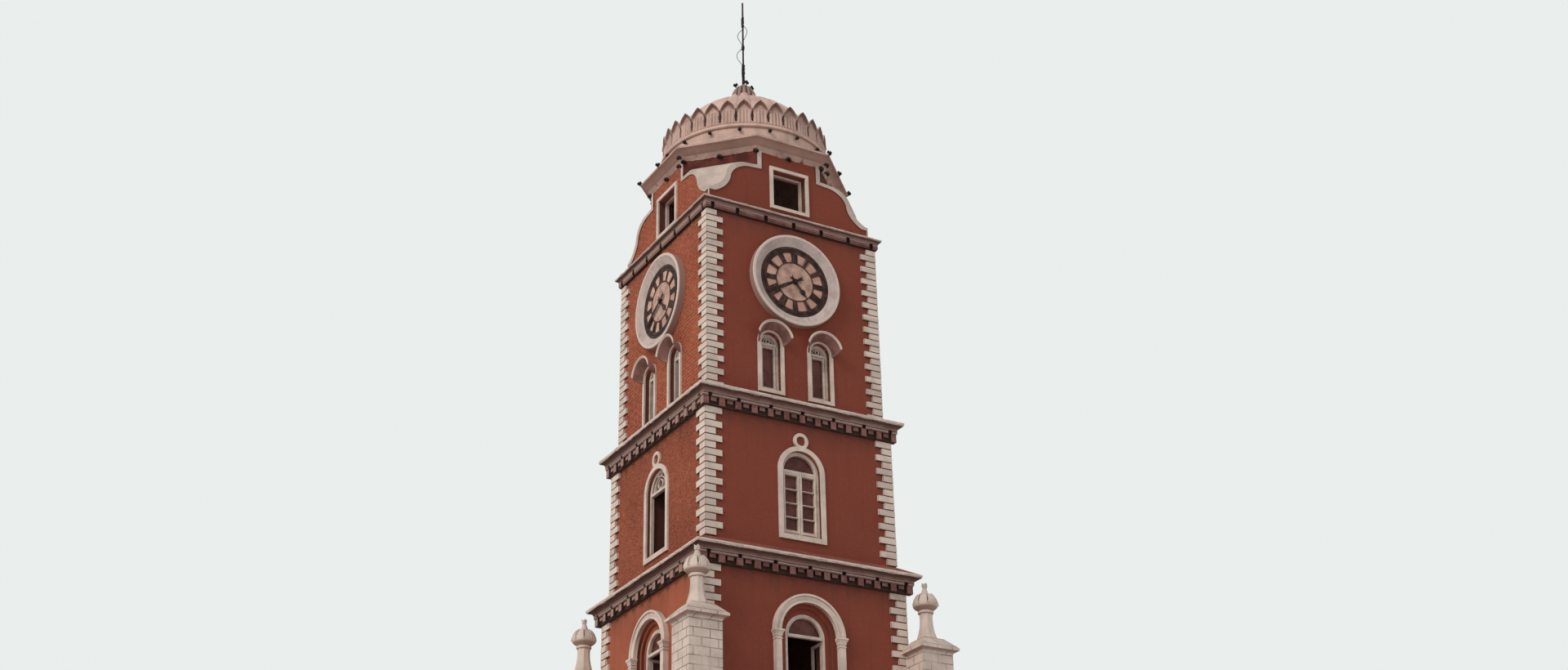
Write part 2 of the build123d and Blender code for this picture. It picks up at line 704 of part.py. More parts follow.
def windows():
    """Joinery and glass of the arched and narrow windows."""
    frame_face = FIRST_HALF - 2 * BAY_STEP
    closed = []
    glass = []
    for top, turns in ((GROUND_TOP, (90, 180, 270)), (LOWER_TOP, FACE_TURNS)):
        spring = top - BAY_HEAD
        sill = spring - BAY_HEIGHT
        closed += turned(arched_frame(ARCHED_WINDOW_HALF, sill, spring, frame_face, True), turns)
        glass += turned(sheet(ARCHED_WINDOW_HALF, sill, spring, frame_face), turns)
    save("lower_window_frames", *closed)
    spring = FIRST_TOP - BAY_HEAD
    sill = spring - BAY_HEIGHT
    save("first_window_frames", *turned(arched_frame(ARCHED_WINDOW_HALF, sill, spring, frame_face, False)))
    save("first_window_leaves", *turned(open_leaves(ARCHED_WINDOW_HALF, sill, spring, frame_face)))
    glass += turned(fanlight(ARCHED_WINDOW_HALF, spring, frame_face))
    second_face = SECOND_HALF - SECOND_FRAME_BACK
    second = (SECOND_WINDOW_HALF, SECOND_WINDOW_SILL, SECOND_WINDOW_SPRING, second_face)
    save("second_window_frames", *turned(arched_frame(*second, True), (0, 90, 180)),
         *turned(arched_frame(*second, False), (270,)))
    glass += turned(sheet(*second), (0, 90, 180))
    glass += turned(fanlight(SECOND_WINDOW_HALF, SECOND_WINDOW_SPRING, second_face), (270,))
    small_face = CLOCK_HALF - SMALL_FRAME_BACK
    small = []
    for x in (-SMALL_WINDOW_OFFSET, SMALL_WINDOW_OFFSET):
        shape = (SMALL_WINDOW_HALF, SMALL_WINDOW_SILL, SMALL_WINDOW_SPRING, small_face)
        small += turned(arched_frame(*shape, False, x))
        glass += turned(sheet(*shape, x), (0, 90, 180))
        glass += turned(fanlight(SMALL_WINDOW_HALF, SMALL_WINDOW_SPRING, small_face, x), (270,))
    save("small_window_frames", *small)
    save("window_glass", *glass)


def sheet(half, sill, spring, outer, x=0):
    """Glass behind a whole frame, face to face with it."""
    back = outer - FRAME_DEPTH
    return arched(half - 4, sill + 4, spring, back, back - GLASS, x)


def fanlight(half, spring, outer, x=0):
    """Glass behind the arched head alone."""
    back = outer - FRAME_DEPTH
    return arched(half - 4, spring - TRANSOM / 2, spring, back, back - GLASS, x)


def open_leaves(half, sill, spring, outer):
    """Two casement leaves, standing open square to the wall inside the frame."""
    back = outer - FRAME_DEPTH
    foot = sill + FRAME_WIDTH + LEAF_PLAY
    head = spring - TRANSOM / 2 - LEAF_PLAY
    width = half - FRAME_WIDTH - LEAF_PLAY
    leaves = []
    for side in (-1, 1):
        near = side * (half - LEAF_PLAY)
        far = side * (half - LEAF_PLAY - LEAF_THICK)
        x = (min(near, far), max(near, far))
        leaf = block(x, (-back, width - back), (foot, head))
        inside = (LEAF_STILE - back, width - back - LEAF_STILE)
        pane = block((x[0] - 1, x[1] + 1), inside, (foot + LEAF_STILE, head - LEAF_STILE))
        leaves.append(leaf - pane)
    return Compound([leaf.solid() for leaf in leaves])


def surround(half, sill, spring, wall, width, x=0):
    """Flat architrave round a round-headed hole, with its sill."""
    outer = arched(half + width, sill - width, spring, wall + SURROUND_OUT, wall, x)
    inner = arched(half, sill, spring, wall + SURROUND_OUT + 1, wall - 1, x)
    return outer - inner


def second_surrounds():
    """Architraves of the second storey, each with a ring on its crown."""
    frame = surround(SECOND_WINDOW_HALF, SECOND_WINDOW_SILL, SECOND_WINDOW_SPRING, SECOND_HALF, SURROUND_WIDTH)
    crown = SECOND_WINDOW_SPRING + SECOND_WINDOW_HALF + SURROUND_WIDTH
    height = crown + RING_INNER + 20
    ring = disc(RING_OUTER, height, SECOND_HALF + SURROUND_OUT, SECOND_HALF)
    hole = disc(RING_INNER, height, SECOND_HALF + SURROUND_OUT + 1, SECOND_HALF - 1)
    inside = arched(SECOND_WINDOW_HALF, SECOND_WINDOW_SILL, SECOND_WINDOW_SPRING,
                    SECOND_HALF + SURROUND_OUT + 1, SECOND_HALF - 1)
    save("second_window_surrounds", *turned(joined([frame, ring - hole]) - inside))


def small_surrounds():
    """Architraves of the narrow windows."""
    pieces = []
    for x in (-SMALL_WINDOW_OFFSET, SMALL_WINDOW_OFFSET):
        pieces += turned(surround(SMALL_WINDOW_HALF, SMALL_WINDOW_SILL, SMALL_WINDOW_SPRING, CLOCK_HALF,
                                  SMALL_SURROUND_WIDTH, x))
    save("small_window_surrounds", *pieces)


def hood(x):
    """Scooped hood flaring from a narrow window's arch to a wider rim, its ends swept back to the wall."""
    foot = SMALL_WINDOW_HALF + SMALL_SURROUND_WIDTH
    lip = foot + HOOD_RISE
    start = SURROUND_OUT + QUOIN_GAP
    bulge = foot + 0.35 * HOOD_RISE + 14
    profile = half_round([
        (foot, start),
        ((bulge, 0.6 * HOOD_OUT), (lip, HOOD_OUT)),
        (lip - HOOD_SHELL, HOOD_OUT),
        ((bulge - HOOD_SHELL, 0.6 * HOOD_OUT), (foot - HOOD_SHELL, start)),
    ])
    arch = revolve(profile, Axis.Y, revolution_arc=180)
    ends = extrude(profile, amount=HOOD_DROP, dir=(0, 0, 1))
    shell = joined([arch, ends, ends.mirror(Plane.YZ)])
    sweep = [
        (0, HOOD_DROP + 1),
        (0, HOOD_DROP - 20),
        ((0.6 * HOOD_OUT, -10), (HOOD_OUT + 1, -HOOD_LIFT)),
        (HOOD_OUT + 1, HOOD_DROP + 1),
    ]
    below = extrude(Plane.YZ * half_round(sweep), amount=2 * lip, both=True)
    return Pos(x, -CLOCK_HALF, SMALL_WINDOW_SPRING) * Rot(180, 0, 0) * (shell - below)


def hoods():
    """Hoods of the eight narrow windows."""
    pieces = [h for x in (-SMALL_WINDOW_OFFSET, SMALL_WINDOW_OFFSET) for h in turned(hood(x))]
    save("window_hoods", *pieces)


# ---------------------------------------------------------------- attic

def ogee(inset=0):
    """Diagonal half profile of the attic: a square corner, an ogee, then the octagon's wall."""
    corner = sqrt(2) * (ATTIC_HALF + COPING_OUT)
    run = corner - ATTIC_HALF
    foot = CLOCK_TOP + OGEE_FOOT - inset
    middle = CLOCK_TOP + OGEE_MIDDLE - inset
    head = CLOCK_TOP + OGEE_HEAD - inset
    rise = middle - foot
    return [
        (corner + 10, CLOCK_TOP),
        (corner + 10, foot),
        (corner - 0.05 * run - inset, foot),
        ((corner - 0.25 * run - inset, foot + 0.42 * rise), (corner - 0.36 * run - inset, middle)),
        ((corner - 0.46 * run - inset, head - 0.42 * rise), (corner - 0.71 * run - inset, head - 30)),
        (ATTIC_HALF - inset, head),
        (ATTIC_HALF - inset, EAVE_UNDERSIDE),
    ]


def attic_mass(half, inset):
    """Square attic block with its corners cut to the ogee."""
    square = block((-half, half), (-half, half), (CLOCK_TOP, EAVE_UNDERSIDE))
    corners = moulded(ogee(inset)).rotate(Axis.Z, 45)
    return square & corners


def attic():
    """Four gable walls, and the corner roofs with their copings."""
    room = moulded([(ATTIC_HALF - ATTIC_WALL, CLOCK_TOP - 1), (ATTIC_HALF - ATTIC_WALL, EAVE_UNDERSIDE + 1)], 8)
    face = attic_mass(ATTIC_HALF, COPING_WIDTH)
    full = (-ATTIC_HALF, ATTIC_HALF)
    between = (ATTIC_WALL - ATTIC_HALF, ATTIC_HALF - ATTIC_WALL)
    depth = (-ATTIC_HALF, ATTIC_WALL - ATTIC_HALF)
    height = (CLOCK_TOP, EAVE_UNDERSIDE)
    slab = block(full, depth, height)
    window = block((-ATTIC_WINDOW_HALF, ATTIC_WINDOW_HALF), (depth[0] - 1, depth[1] + 1),
                   (ATTIC_WINDOW_SILL, ATTIC_WINDOW_HEAD))
    save("attic_front_back_gables", *turned((face & slab) - window, (0, 180)))
    save("attic_side_gables", *turned((face & block(between, depth, height)) - window, (90, 270)))
    proud = attic_mass(ATTIC_HALF + COPING_OUT, 0)
    reach = (full[0] - 1.2 * COPING_OUT, full[1] + 1.2 * COPING_OUT)
    above = block(reach, reach, (CLOCK_TOP + WEATHERING, EAVE_UNDERSIDE + 1))
    roofs = (attic_mass(ATTIC_HALF, 0) + (proud & above)) - room
    open_face = attic_mass(ATTIC_HALF + 2 * COPING_OUT, COPING_WIDTH)
    in_front = block(full, (depth[0] - 2 * COPING_OUT, depth[0] + 1), height)
    for gable in turned(slab.fuse(in_front)):
        roofs = roofs - (gable & open_face)
    save("attic_corner_roofs", roofs)


def square_frame(half, width, outer):
    """Square frame standing on one of the attic's window holes, inside it or round it."""
    grow = half + width - ATTIC_WINDOW_HALF
    plate = block((-half - width, half + width), (-outer[0], -outer[1]),
                  (ATTIC_WINDOW_SILL - grow, ATTIC_WINDOW_HEAD + grow))
    hole = block((-half, half), (-outer[0] - 1, 1 - outer[1]),
                 (ATTIC_WINDOW_SILL - grow + width, ATTIC_WINDOW_HEAD + grow - width))
    return plate - hole


def attic_windows():
    """Square architraves and inner frames of the attic windows."""
    proud = (ATTIC_HALF + SURROUND_OUT, ATTIC_HALF)
    save("attic_window_surrounds", *turned(square_frame(ATTIC_WINDOW_HALF, ATTIC_SURROUND_WIDTH, proud)))
    face = ATTIC_HALF - ATTIC_FRAME_BACK
    inside = (face, face - FRAME_DEPTH)
    save("attic_window_frames", *turned(square_frame(ATTIC_WINDOW_HALF - FRAME_WIDTH, FRAME_WIDTH, inside)))


# ---------------------------------------------------------------- dials

def bezel():
    """Deep round frame of a dial: rim, conical reveal and the ledge that the dial sits on."""
    edges, last = path_edges([
        (DIAL_RADIUS + 2 - DIAL_LEDGE, 0),
        (BEZEL_RADIUS, 0),
        (BEZEL_RADIUS, BEZEL_OUT - 25),
        ((BEZEL_RADIUS - 7, BEZEL_OUT - 7), (BEZEL_RADIUS - 25, BEZEL_OUT)),
        (BEZEL_RADIUS - BEZEL_RIM, BEZEL_OUT),
        (DIAL_RADIUS + 2, DIAL_SEAT + DIAL_GLASS + SKELETON),
        (DIAL_RADIUS + 2, DIAL_SEAT),
        (DIAL_RADIUS + 2 - DIAL_LEDGE, DIAL_SEAT),
    ])
    section = make_face(edges + [Line(last, (DIAL_RADIUS + 2 - DIAL_LEDGE, 0))])
    return Pos(0, -CLOCK_HALF, DIAL_HEIGHT) * Rot(0, 0, 180) * revolve(section, Axis.Y)


def stroke(width, outer, inner, depth):
    """One straight stroke of a numeral, from its place at the outer ring to its place at the inner ring."""
    low, high = CHAPTER_INNER + 12, CHAPTER_OUTER + 12
    corners = [(inner - width / 2, low), (inner + width / 2, low), (outer + width / 2, high), (outer - width / 2, high)]
    return Pos(0, -depth[1], 0) * extrude(Plane.XZ * half_round(corners), amount=depth[0] - depth[1])


def numeral(letters, depth):
    """Strokes of one hour's numeral at twelve, its foot toward the arbor."""
    widths = [NUMERAL_PITCH if letter == "I" else NUMERAL_SPREAD + NUMERAL_PITCH / 2 for letter in letters]
    place = -sum(widths) / 2
    half = NUMERAL_SPREAD / 2
    strokes = []
    for letter, width in zip(letters, widths):
        middle = place + width / 2
        place += width
        if letter == "I":
            strokes.append(stroke(NUMERAL_THICK, middle, middle, depth))
        if letter == "V":
            strokes.append(stroke(NUMERAL_THICK, middle - half, middle, depth))
            strokes.append(stroke(NUMERAL_THIN, middle + half, middle, depth))
        if letter == "X":
            strokes.append(stroke(NUMERAL_THICK, middle - half, middle + half, depth))
            strokes.append(stroke(NUMERAL_THIN, middle + half, middle - half, depth))
    return strokes


def skeleton():
    """Open dial: a minute ring with a slot for every minute, an hour ring, and the numerals that join them."""
    back = CLOCK_HALF + DIAL_SEAT + DIAL_GLASS
    front = back + SKELETON
    outer = disc(DIAL_RADIUS, 0, front, back) - disc(CHAPTER_OUTER, 0, front + 1, back - 1)
    inner = disc(CHAPTER_INNER + RING_BAR, 0, front, back) - disc(CHAPTER_INNER, 0, front + 1, back - 1)
    opening = 2 * pi * TRACK_RADIUS / MINUTES - TRACK_WIDTH
    slot = block((-opening / 2, opening / 2), (-front - 1, 1 - back),
                 (TRACK_RADIUS - TRACK_WIDTH / 2, TRACK_RADIUS + TRACK_WIDTH / 2))
    slots = [Rot(0, (minute + 0.5) * 360 / MINUTES, 0) * slot for minute in range(MINUTES)]
    strokes = []
    for hour, letters in enumerate(NUMERALS):
        turn = Rot(0, hour * 360 / len(NUMERALS), 0)
        strokes += [turn * one for one in numeral(letters, (front, back))]
    return Pos(0, 0, DIAL_HEIGHT) * joined([outer.cut(*slots), inner] + strokes)


def arbor():
    """Centre boss on the dial, and the pin that both hands turn on, with its cap."""
    back = CLOCK_HALF + DIAL_SEAT + DIAL_GLASS
    front = back + SKELETON
    hour_back = front + HAND_GAP
    minute_back = hour_back + HAND_THICK + HAND_GAP
    end = minute_back + HAND_THICK + 2
    boss = disc(ARBOR_BOSS, DIAL_HEIGHT, hour_back - 1, back)
    pin = disc(ARBOR_RADIUS, DIAL_HEIGHT, end, back)
    cap = disc(ARBOR_RADIUS + 12, DIAL_HEIGHT, end + 12, end)
    return joined([boss, pin, cap])


def hour_outline():
    """Half outline of the hour hand: forked tail, narrow stem, spade and point."""
    return [
        (0, -0.75 * HOUR_TAIL),
        (2 * HOUR_STEM, -HOUR_TAIL),
        (HOUR_STEM, -ARBOR_BOSS),
        (HOUR_STEM, 0.48 * HOUR_HAND),
        ((HOUR_SPADE, 0.6 * HOUR_HAND), (HOUR_STEM, 0.76 * HOUR_HAND)),
        (0, HOUR_HAND),
    ]


def minute_outline():
    """Half outline of the minute hand: forked tail and a long leaf that is broadest at its middle."""
    return [
        (0, -0.8 * MINUTE_TAIL),
        (MINUTE_BROAD, -MINUTE_TAIL),
        (0.6 * MINUTE_BROAD, -ARBOR_BOSS),
        (0.6 * MINUTE_BROAD, ARBOR_BOSS),
        (MINUTE_BROAD, 0.47 * MINUTE_HAND),
        (MINUTE_POINT, 0.97 * MINUTE_HAND),
        (0, MINUTE_HAND),
    ]


def hand(outline, back, angle):
    """Flat hand with a round hub, pointing at an angle clockwise from twelve."""
    hub = disc(ARBOR_BOSS, 0, back + HAND_THICK, back)
    blade = Pos(0, -back, 0) * extrude(Plane.XZ * mirrored_face(outline), amount=HAND_THICK)
    bore = disc(ARBOR_RADIUS + HAND_BORE_CLEARANCE, 0, back + HAND_THICK + 1, back - 1)
    return Pos(0, 0, DIAL_HEIGHT) * Rot(0, angle, 0) * (joined([hub, blade]) - bore)


def dials():
    """Bezels, opal discs, skeletons, arbors and hands of the four dials."""
    back = CLOCK_HALF + DIAL_SEAT
    hour_back = back + DIAL_GLASS + SKELETON + HAND_GAP
    minute_back = hour_back + HAND_THICK + HAND_GAP
    save("clock_bezels", *turned(bezel()))
    save("dial_glass", *turned(disc(DIAL_RADIUS, DIAL_HEIGHT, back + DIAL_GLASS, back)))
    save("dial_skeletons", *turned(skeleton()))
    save("hand_arbors", *turned(arbor()))
    hour = hand(hour_outline(), hour_back, HOUR_ANGLE)
    minute = hand(minute_outline(), minute_back, MINUTE_ANGLE)
    for name, turn in (("front", 0), ("right", 90), ("back", 180), ("left", 270)):
        save(f"{name}_hour_hand", hour.rotate(Axis.Z, turn))
        save(f"{name}_minute_hand", minute.rotate(Axis.Z, turn))


# ---------------------------------------------------------------- eave, dome and finial

def eave():
    """Octagonal eave: a tall cove under a thin fillet, open in the middle."""
    fillet = EAVE_TOP - EAVE_FASCIA
    solid = moulded([
        (ATTIC_HALF, EAVE_UNDERSIDE),
        ((ATTIC_HALF + 0.3 * EAVE_OUT, EAVE_UNDERSIDE + 0.66 * EAVE_HEIGHT), (EAVE_HALF - 18, fillet)),
        (EAVE_HALF, fillet),
        (EAVE_HALF, EAVE_TOP),
    ], 8)
    hole = Pos(0, 0, EAVE_UNDERSIDE - 1) * Cylinder(EAVE_OPENING, EAVE_TOP - EAVE_UNDERSIDE + 2,
                                                    align=(Align.CENTER, Align.CENTER, Align.MIN))
    save("eave", solid - hole)


def turned_solid(path):
    """Solid of revolution about the tower's axis, from a closed half profile."""
    return revolve(Plane.XZ * half_round(path), Axis.Z)


def drum():
    """Round drum with a roll moulding on its shoulder."""
    save("drum", turned_solid([
        (EAVE_OPENING, EAVE_TOP),
        (DRUM_RADIUS, EAVE_TOP),
        (DRUM_RADIUS, DRUM_TOP),
        ((DRUM_RADIUS + ROLL_RADIUS, DRUM_TOP + ROLL_RADIUS), (DRUM_RADIUS, DOME_FOOT)),
        (EAVE_OPENING, DOME_FOOT),
    ]))


def on_dome(radius, degrees_up):
    """Point of a half profile at a radius about the dome's centre."""
    angle = radians(degrees_up)
    return radius * cos(angle), DOME_CENTRE + radius * sin(angle)


def dome():
    """Thin masonry dome, open below, with a groove between every two gores."""
    outer = Pos(0, 0, DOME_CENTRE) * Sphere(DOME_RADIUS)
    inner = Pos(0, 0, DOME_CENTRE) * Sphere(DOME_RADIUS - DOME_SHELL)
    keep = block((-DOME_RADIUS, DOME_RADIUS), (-DOME_RADIUS, DOME_RADIUS), (DOME_FOOT, DOME_CENTRE + DOME_RADIUS))
    low, high = 12, degrees(atan2(DOME_RADIUS, CROWN_RADIUS))
    deep, clear = DOME_RADIUS - GORE_DEPTH, DOME_RADIUS + GORE_DEPTH
    middle = (low + high) / 2
    groove = half_round([
        on_dome(deep, low),
        (on_dome(deep, middle), on_dome(deep, high)),
        on_dome(clear, high),
        (on_dome(clear, middle), on_dome(clear, low)),
    ])
    cutter = extrude(Plane.XZ * groove, amount=GORE_GROOVE / 2, both=True)
    whole = (outer - inner) & keep
    save("dome", whole.cut(*ring_of(cutter, PETALS, 180 / PETALS)))


def lotus_band():
    """Ring of upright pointed petals round the foot of the dome, slit from their shoulders down."""
    radius = DOME_RADIUS + 2
    face = radius + PETAL_THICK
    tip = DOME_FOOT + PETAL_HEIGHT
    shoulder = DOME_FOOT + PETAL_SHOULDER
    shell = turned_solid([
        (radius, DOME_FOOT),
        (face, DOME_FOOT),
        (face, DOME_FOOT + 2 * PETAL_FOOT),
        ((face - 0.3 * PETAL_LEAN, shoulder + 90), (face - PETAL_LEAN, tip)),
        (radius, tip),
    ])
    pitch = pi * face / PETALS
    slit = PETAL_SLIT / 2
    gap = mirrored_face([
        (0, DOME_FOOT + PETAL_FOOT),
        (slit, shoulder),
        ((slit + 0.26 * pitch, shoulder + 0.56 * (tip - shoulder)), (pitch, tip - 10)),
        (pitch, tip + 10),
    ])
    cutter = extrude(Plane.XZ * gap, amount=radius + 2 * PETAL_THICK)
    side = PLEAT_DEPTH * sqrt(2) * 2
    low = DOME_FOOT + 30
    pleat = Pos(0, PLEAT_DEPTH - face - side / sqrt(2), (low + tip) / 2) * Rot(0, 0, 45) * Box(side, side, tip - low)
    pleats = [pleat.rotate(Axis.Z, turn) for turn in (-PLEAT_ANGLE, PLEAT_ANGLE)]
    cuts = ring_of(cutter, PETALS, 180 / PETALS)
    for one in pleats:
        cuts += ring_of(one, PETALS)
    save("lotus_band", shell.cut(*cuts))


def finial():
    """Fluted cup on a ring of rounded petals at the crown of the dome, and the mast above it."""
    core = turned_solid([
        (0, CUP_FOOT - 100),
        (CROWN_RADIUS, CUP_FOOT - 100),
        (CROWN_RADIUS - 60, CUP_FOOT + 60),
        (CUP_NECK, CUP_TOP - 60),
        (CUP_NECK + 25, CUP_TOP),
        (0, CUP_TOP),
    ])
    low = (CUP_RADIUS - FLUTE_RADIUS + 15, CUP_FOOT + 110)
    high = (CUP_NECK - FLUTE_RADIUS + 20, CUP_TOP + 60)
    lean = degrees(atan2(low[0] - high[0], high[1] - low[1]))
    length = hypot(low[0] - high[0], high[1] - low[1])
    flute = Pos(low[0], 0, low[1]) * Rot(0, -lean, 0) * Cylinder(FLUTE_RADIUS, length,
                                                               align=(Align.CENTER, Align.CENTER, Align.MIN))
    petal_top = CUP_FOOT + 45
    petal = Pos(CROWN_RADIUS, 0, CUP_FOOT - 200) * Cylinder(CROWN_PETAL_RADIUS, petal_top - CUP_FOOT + 200,
                                                             align=(Align.CENTER, Align.CENTER, Align.MIN))
    slope = turned_solid([
        (0, petal_top + 1),
        (0, CUP_FOOT + 40),
        (CROWN_RADIUS - 40, CUP_FOOT + 40),
        ((CROWN_RADIUS + 60, CUP_FOOT + 10), (CROWN_RADIUS + 100, CUP_FOOT - 60)),
        (CROWN_RADIUS + 100, petal_top + 1),
    ])
    crown = Pos(0, 0, DOME_CENTRE) * Sphere(DOME_RADIUS)
    below_rim = block((-CUP_RADIUS - 100, CUP_RADIUS + 100), (-CUP_RADIUS - 100, CUP_RADIUS + 100),
                      (CUP_FOOT - 200, CUP_TOP - 45))
    flutes = [one & below_rim for one in ring_of(flute, CUP_FLUTES)]
    petals = [one - slope for one in ring_of(petal, CROWN_PETALS, 180 / CROWN_PETALS)]
    save("dome_finial", joined([core] + flutes + petals) - crown)
    mast = Pos(0, 0, CUP_TOP) * Cylinder(MAST_RADIUS, MAST_LENGTH, align=(Align.CENTER, Align.CENTER, Align.MIN))
    save("mast", mast)


def festoon_lamps():
    """Round lamps on short stems, evenly spaced round the drum."""
    stem = disc(LAMP_STEM, 0, DRUM_RADIUS + LAMP_REACH, DRUM_RADIUS + QUOIN_GAP)
    ball = Pos(0, -DRUM_RADIUS - LAMP_REACH, 0) * Sphere(LAMP_RADIUS)
    lamp = Pos(0, 0, EAVE_TOP + DRUM_LAMP_UP) * joined([stem, ball])
    save("festoon_lamps", *ring_of(lamp, DRUM_LAMPS, DRUM_LAMP_START))


def main():
    os.makedirs("parts", exist_ok=True)
    plinth()
    floors()
    walls()
    quoins()
    cornices()
    corner_piers()
    pinnacles()
    arch_surrounds()
    windows()
    second_surrounds()
    small_surrounds()
    hoods()
    attic()
    attic_windows()
    dials()
    eave()
    drum()
    dome()
    lotus_band()
    finial()
    festoon_lamps()


main()
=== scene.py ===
"""Clock tower: its finishes, corner stones, dome and petals, and the small plaster, joinery, mast and lamp
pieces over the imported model.

Metres. The origin is on the ground under the middle of the tower, +Z is up, and the front faces -Y.
Faces are numbered 0 front, 1 right, 2 back and 3 left. A point on a face is (across, out, up), with
across to the right seen from outside and out measured from the tower's axis.
"""

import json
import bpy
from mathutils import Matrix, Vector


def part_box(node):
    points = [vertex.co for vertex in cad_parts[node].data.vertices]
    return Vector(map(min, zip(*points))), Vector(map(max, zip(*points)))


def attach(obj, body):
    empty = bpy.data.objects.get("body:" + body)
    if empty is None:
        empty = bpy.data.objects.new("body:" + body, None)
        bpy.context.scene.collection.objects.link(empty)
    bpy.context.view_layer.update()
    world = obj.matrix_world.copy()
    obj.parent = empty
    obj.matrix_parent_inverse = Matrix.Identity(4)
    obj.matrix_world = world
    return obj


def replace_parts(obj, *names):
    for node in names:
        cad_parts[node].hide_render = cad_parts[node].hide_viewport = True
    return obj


bl_info = {
    "name": "Clock tower finishes",
    "version": (1, 0, 0),
    "blender": (4, 5, 0),
    "location": "View3D > Sidebar > Clock tower",
    "description": "Dresses the clock tower with its paint, masonry, joinery and lamps",
    "category": "Object",
}

from math import cos, pi, radians, sin

import bmesh
import bpy
import numpy as np
from bpy.props import FloatProperty, FloatVectorProperty, IntProperty, PointerProperty
from bpy.types import Operator, Panel, PropertyGroup
from mathutils import Matrix, Vector

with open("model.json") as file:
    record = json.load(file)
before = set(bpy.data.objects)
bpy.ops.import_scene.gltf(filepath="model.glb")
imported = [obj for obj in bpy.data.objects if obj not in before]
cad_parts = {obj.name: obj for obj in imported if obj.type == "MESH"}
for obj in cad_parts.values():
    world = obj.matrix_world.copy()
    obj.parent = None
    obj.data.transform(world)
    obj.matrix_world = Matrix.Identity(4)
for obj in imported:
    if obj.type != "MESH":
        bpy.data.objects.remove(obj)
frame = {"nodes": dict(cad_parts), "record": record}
NODES = frame["nodes"]
SLOT_OF = {part["node"]: part["material_slot"] for part in frame["record"]["subparts"]}
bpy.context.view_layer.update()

MADE = {}  # finishes by name, filled by the Finishes operator
PETALS = 32
PETAL_PHASE = -0.014  # turn of the petals and gores about the axis
FACES = range(4)
FRONT, RIGHT, BACK, LEFT = FACES


def top_of(node):
    """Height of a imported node's top."""
    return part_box(node)[1].z


def foot_of(node):
    """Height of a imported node's underside."""
    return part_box(node)[0].z


# Half widths of the storeys, and the heights at which they end
FIRST_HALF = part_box("first_front_back_walls")[1].x
SECOND_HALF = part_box("second_front_back_walls")[1].x
CLOCK_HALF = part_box("clock_front_back_walls")[1].x
ATTIC_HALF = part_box("attic_front_back_gables")[1].x
GROUND_TOP = top_of("ground_back_wall")
LOWER_TOP = top_of("lower_side_walls")
FIRST_TOP = top_of("first_side_walls")
SECOND_TOP = top_of("second_side_walls")
CLOCK_TOP = top_of("clock_side_walls")
LOWER_CORNICE_HEIGHT = FIRST_TOP - foot_of("lower_cornice")
MIDDLE_CORNICE_HEIGHT = SECOND_TOP - foot_of("middle_cornice")
UPPER_CORNICE_HEIGHT = CLOCK_TOP - foot_of("upper_cornice")
BASE_TIP = FIRST_HALF + 0.230
LOWER_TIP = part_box("lower_cornice")[1].x
MIDDLE_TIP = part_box("middle_cornice")[1].x
UPPER_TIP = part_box("upper_cornice")[1].x
EAVE_TOP = top_of("eave")
EAVE_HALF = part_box("eave")[1].x
DOME_FOOT = top_of("drum")
CUP_TOP = top_of("dome_finial")
# Height at which the curve of the corner roofs ends and their upright wall begins
ROOF_HEAD = CLOCK_TOP + 1.240
DIAL_HEIGHT = (foot_of("dial_skeletons") + top_of("dial_skeletons")) / 2
# How far each cornice reaches, the height of its top and its own height, from the lowest up
CORNICES = (
    (BASE_TIP, GROUND_TOP, LOWER_CORNICE_HEIGHT),
    (BASE_TIP, LOWER_TOP, LOWER_CORNICE_HEIGHT),
    (LOWER_TIP, FIRST_TOP, LOWER_CORNICE_HEIGHT),
    (MIDDLE_TIP, SECOND_TOP, MIDDLE_CORNICE_HEIGHT),
    (UPPER_TIP, CLOCK_TOP, UPPER_CORNICE_HEIGHT),
)


# ---------------------------------------------------------------- settings

class PaintSettings(PropertyGroup):
    """Colours of the paint and plaster, and the sizes of the bricks and blocks"""
    limewash: FloatVectorProperty(name="Limewash", description="Red limewash out of the sun",
                                  default=(0.241, 0.059, 0.037), subtype="COLOR", min=0, max=1)
    # Lighter copy of the red limewash, painted on the sunny left face as painted light, and the base of the
    # painted highlights there
    sunlit_limewash: FloatVectorProperty(name="Sunlit limewash", description="Red limewash on the sunny face",
                                  default=(0.375, 0.106, 0.055), subtype="COLOR", min=0, max=1)
    white: FloatVectorProperty(name="White paint", description="Aged white paint on stone and plaster",
                               default=(0.67, 0.53, 0.445), subtype="COLOR", min=0, max=1)
    # Also the colour of painted shade on undersides, in grooves and in hollows
    bare_and_shade: FloatVectorProperty(name="Bare plaster", description="Pink-brown plaster where the white has gone",
                              default=(0.27, 0.125, 0.092), subtype="COLOR", min=0, max=1)
    cream: FloatVectorProperty(name="Lime plaster", description="Pinkish plaster of the dome and its drum",
                               default=(0.50, 0.335, 0.275), subtype="COLOR", min=0, max=1)
    # Also painted shade in recesses, slits, flutes and under ledges, besides real soot and dust in the joints
    grime_and_shade: FloatVectorProperty(name="Grime", description="Soot and dust in the joints and under ledges",
                               default=(0.085, 0.045, 0.034), subtype="COLOR", min=0, max=1)
    brick_width: FloatProperty(name="Brick length", description="One brick and its joint",
                               default=0.237, unit="LENGTH")
    brick_rise: FloatProperty(name="Brick rise", description="One course of brick and its joint",
                              default=0.079, unit="LENGTH")
    block_width: FloatProperty(name="Block length", description="One block of a corner pier and its joint",
                               default=0.355, unit="LENGTH")
    block_rise: FloatProperty(name="Block rise", description="One course of a corner pier's blocks",
                              default=0.178, unit="LENGTH")


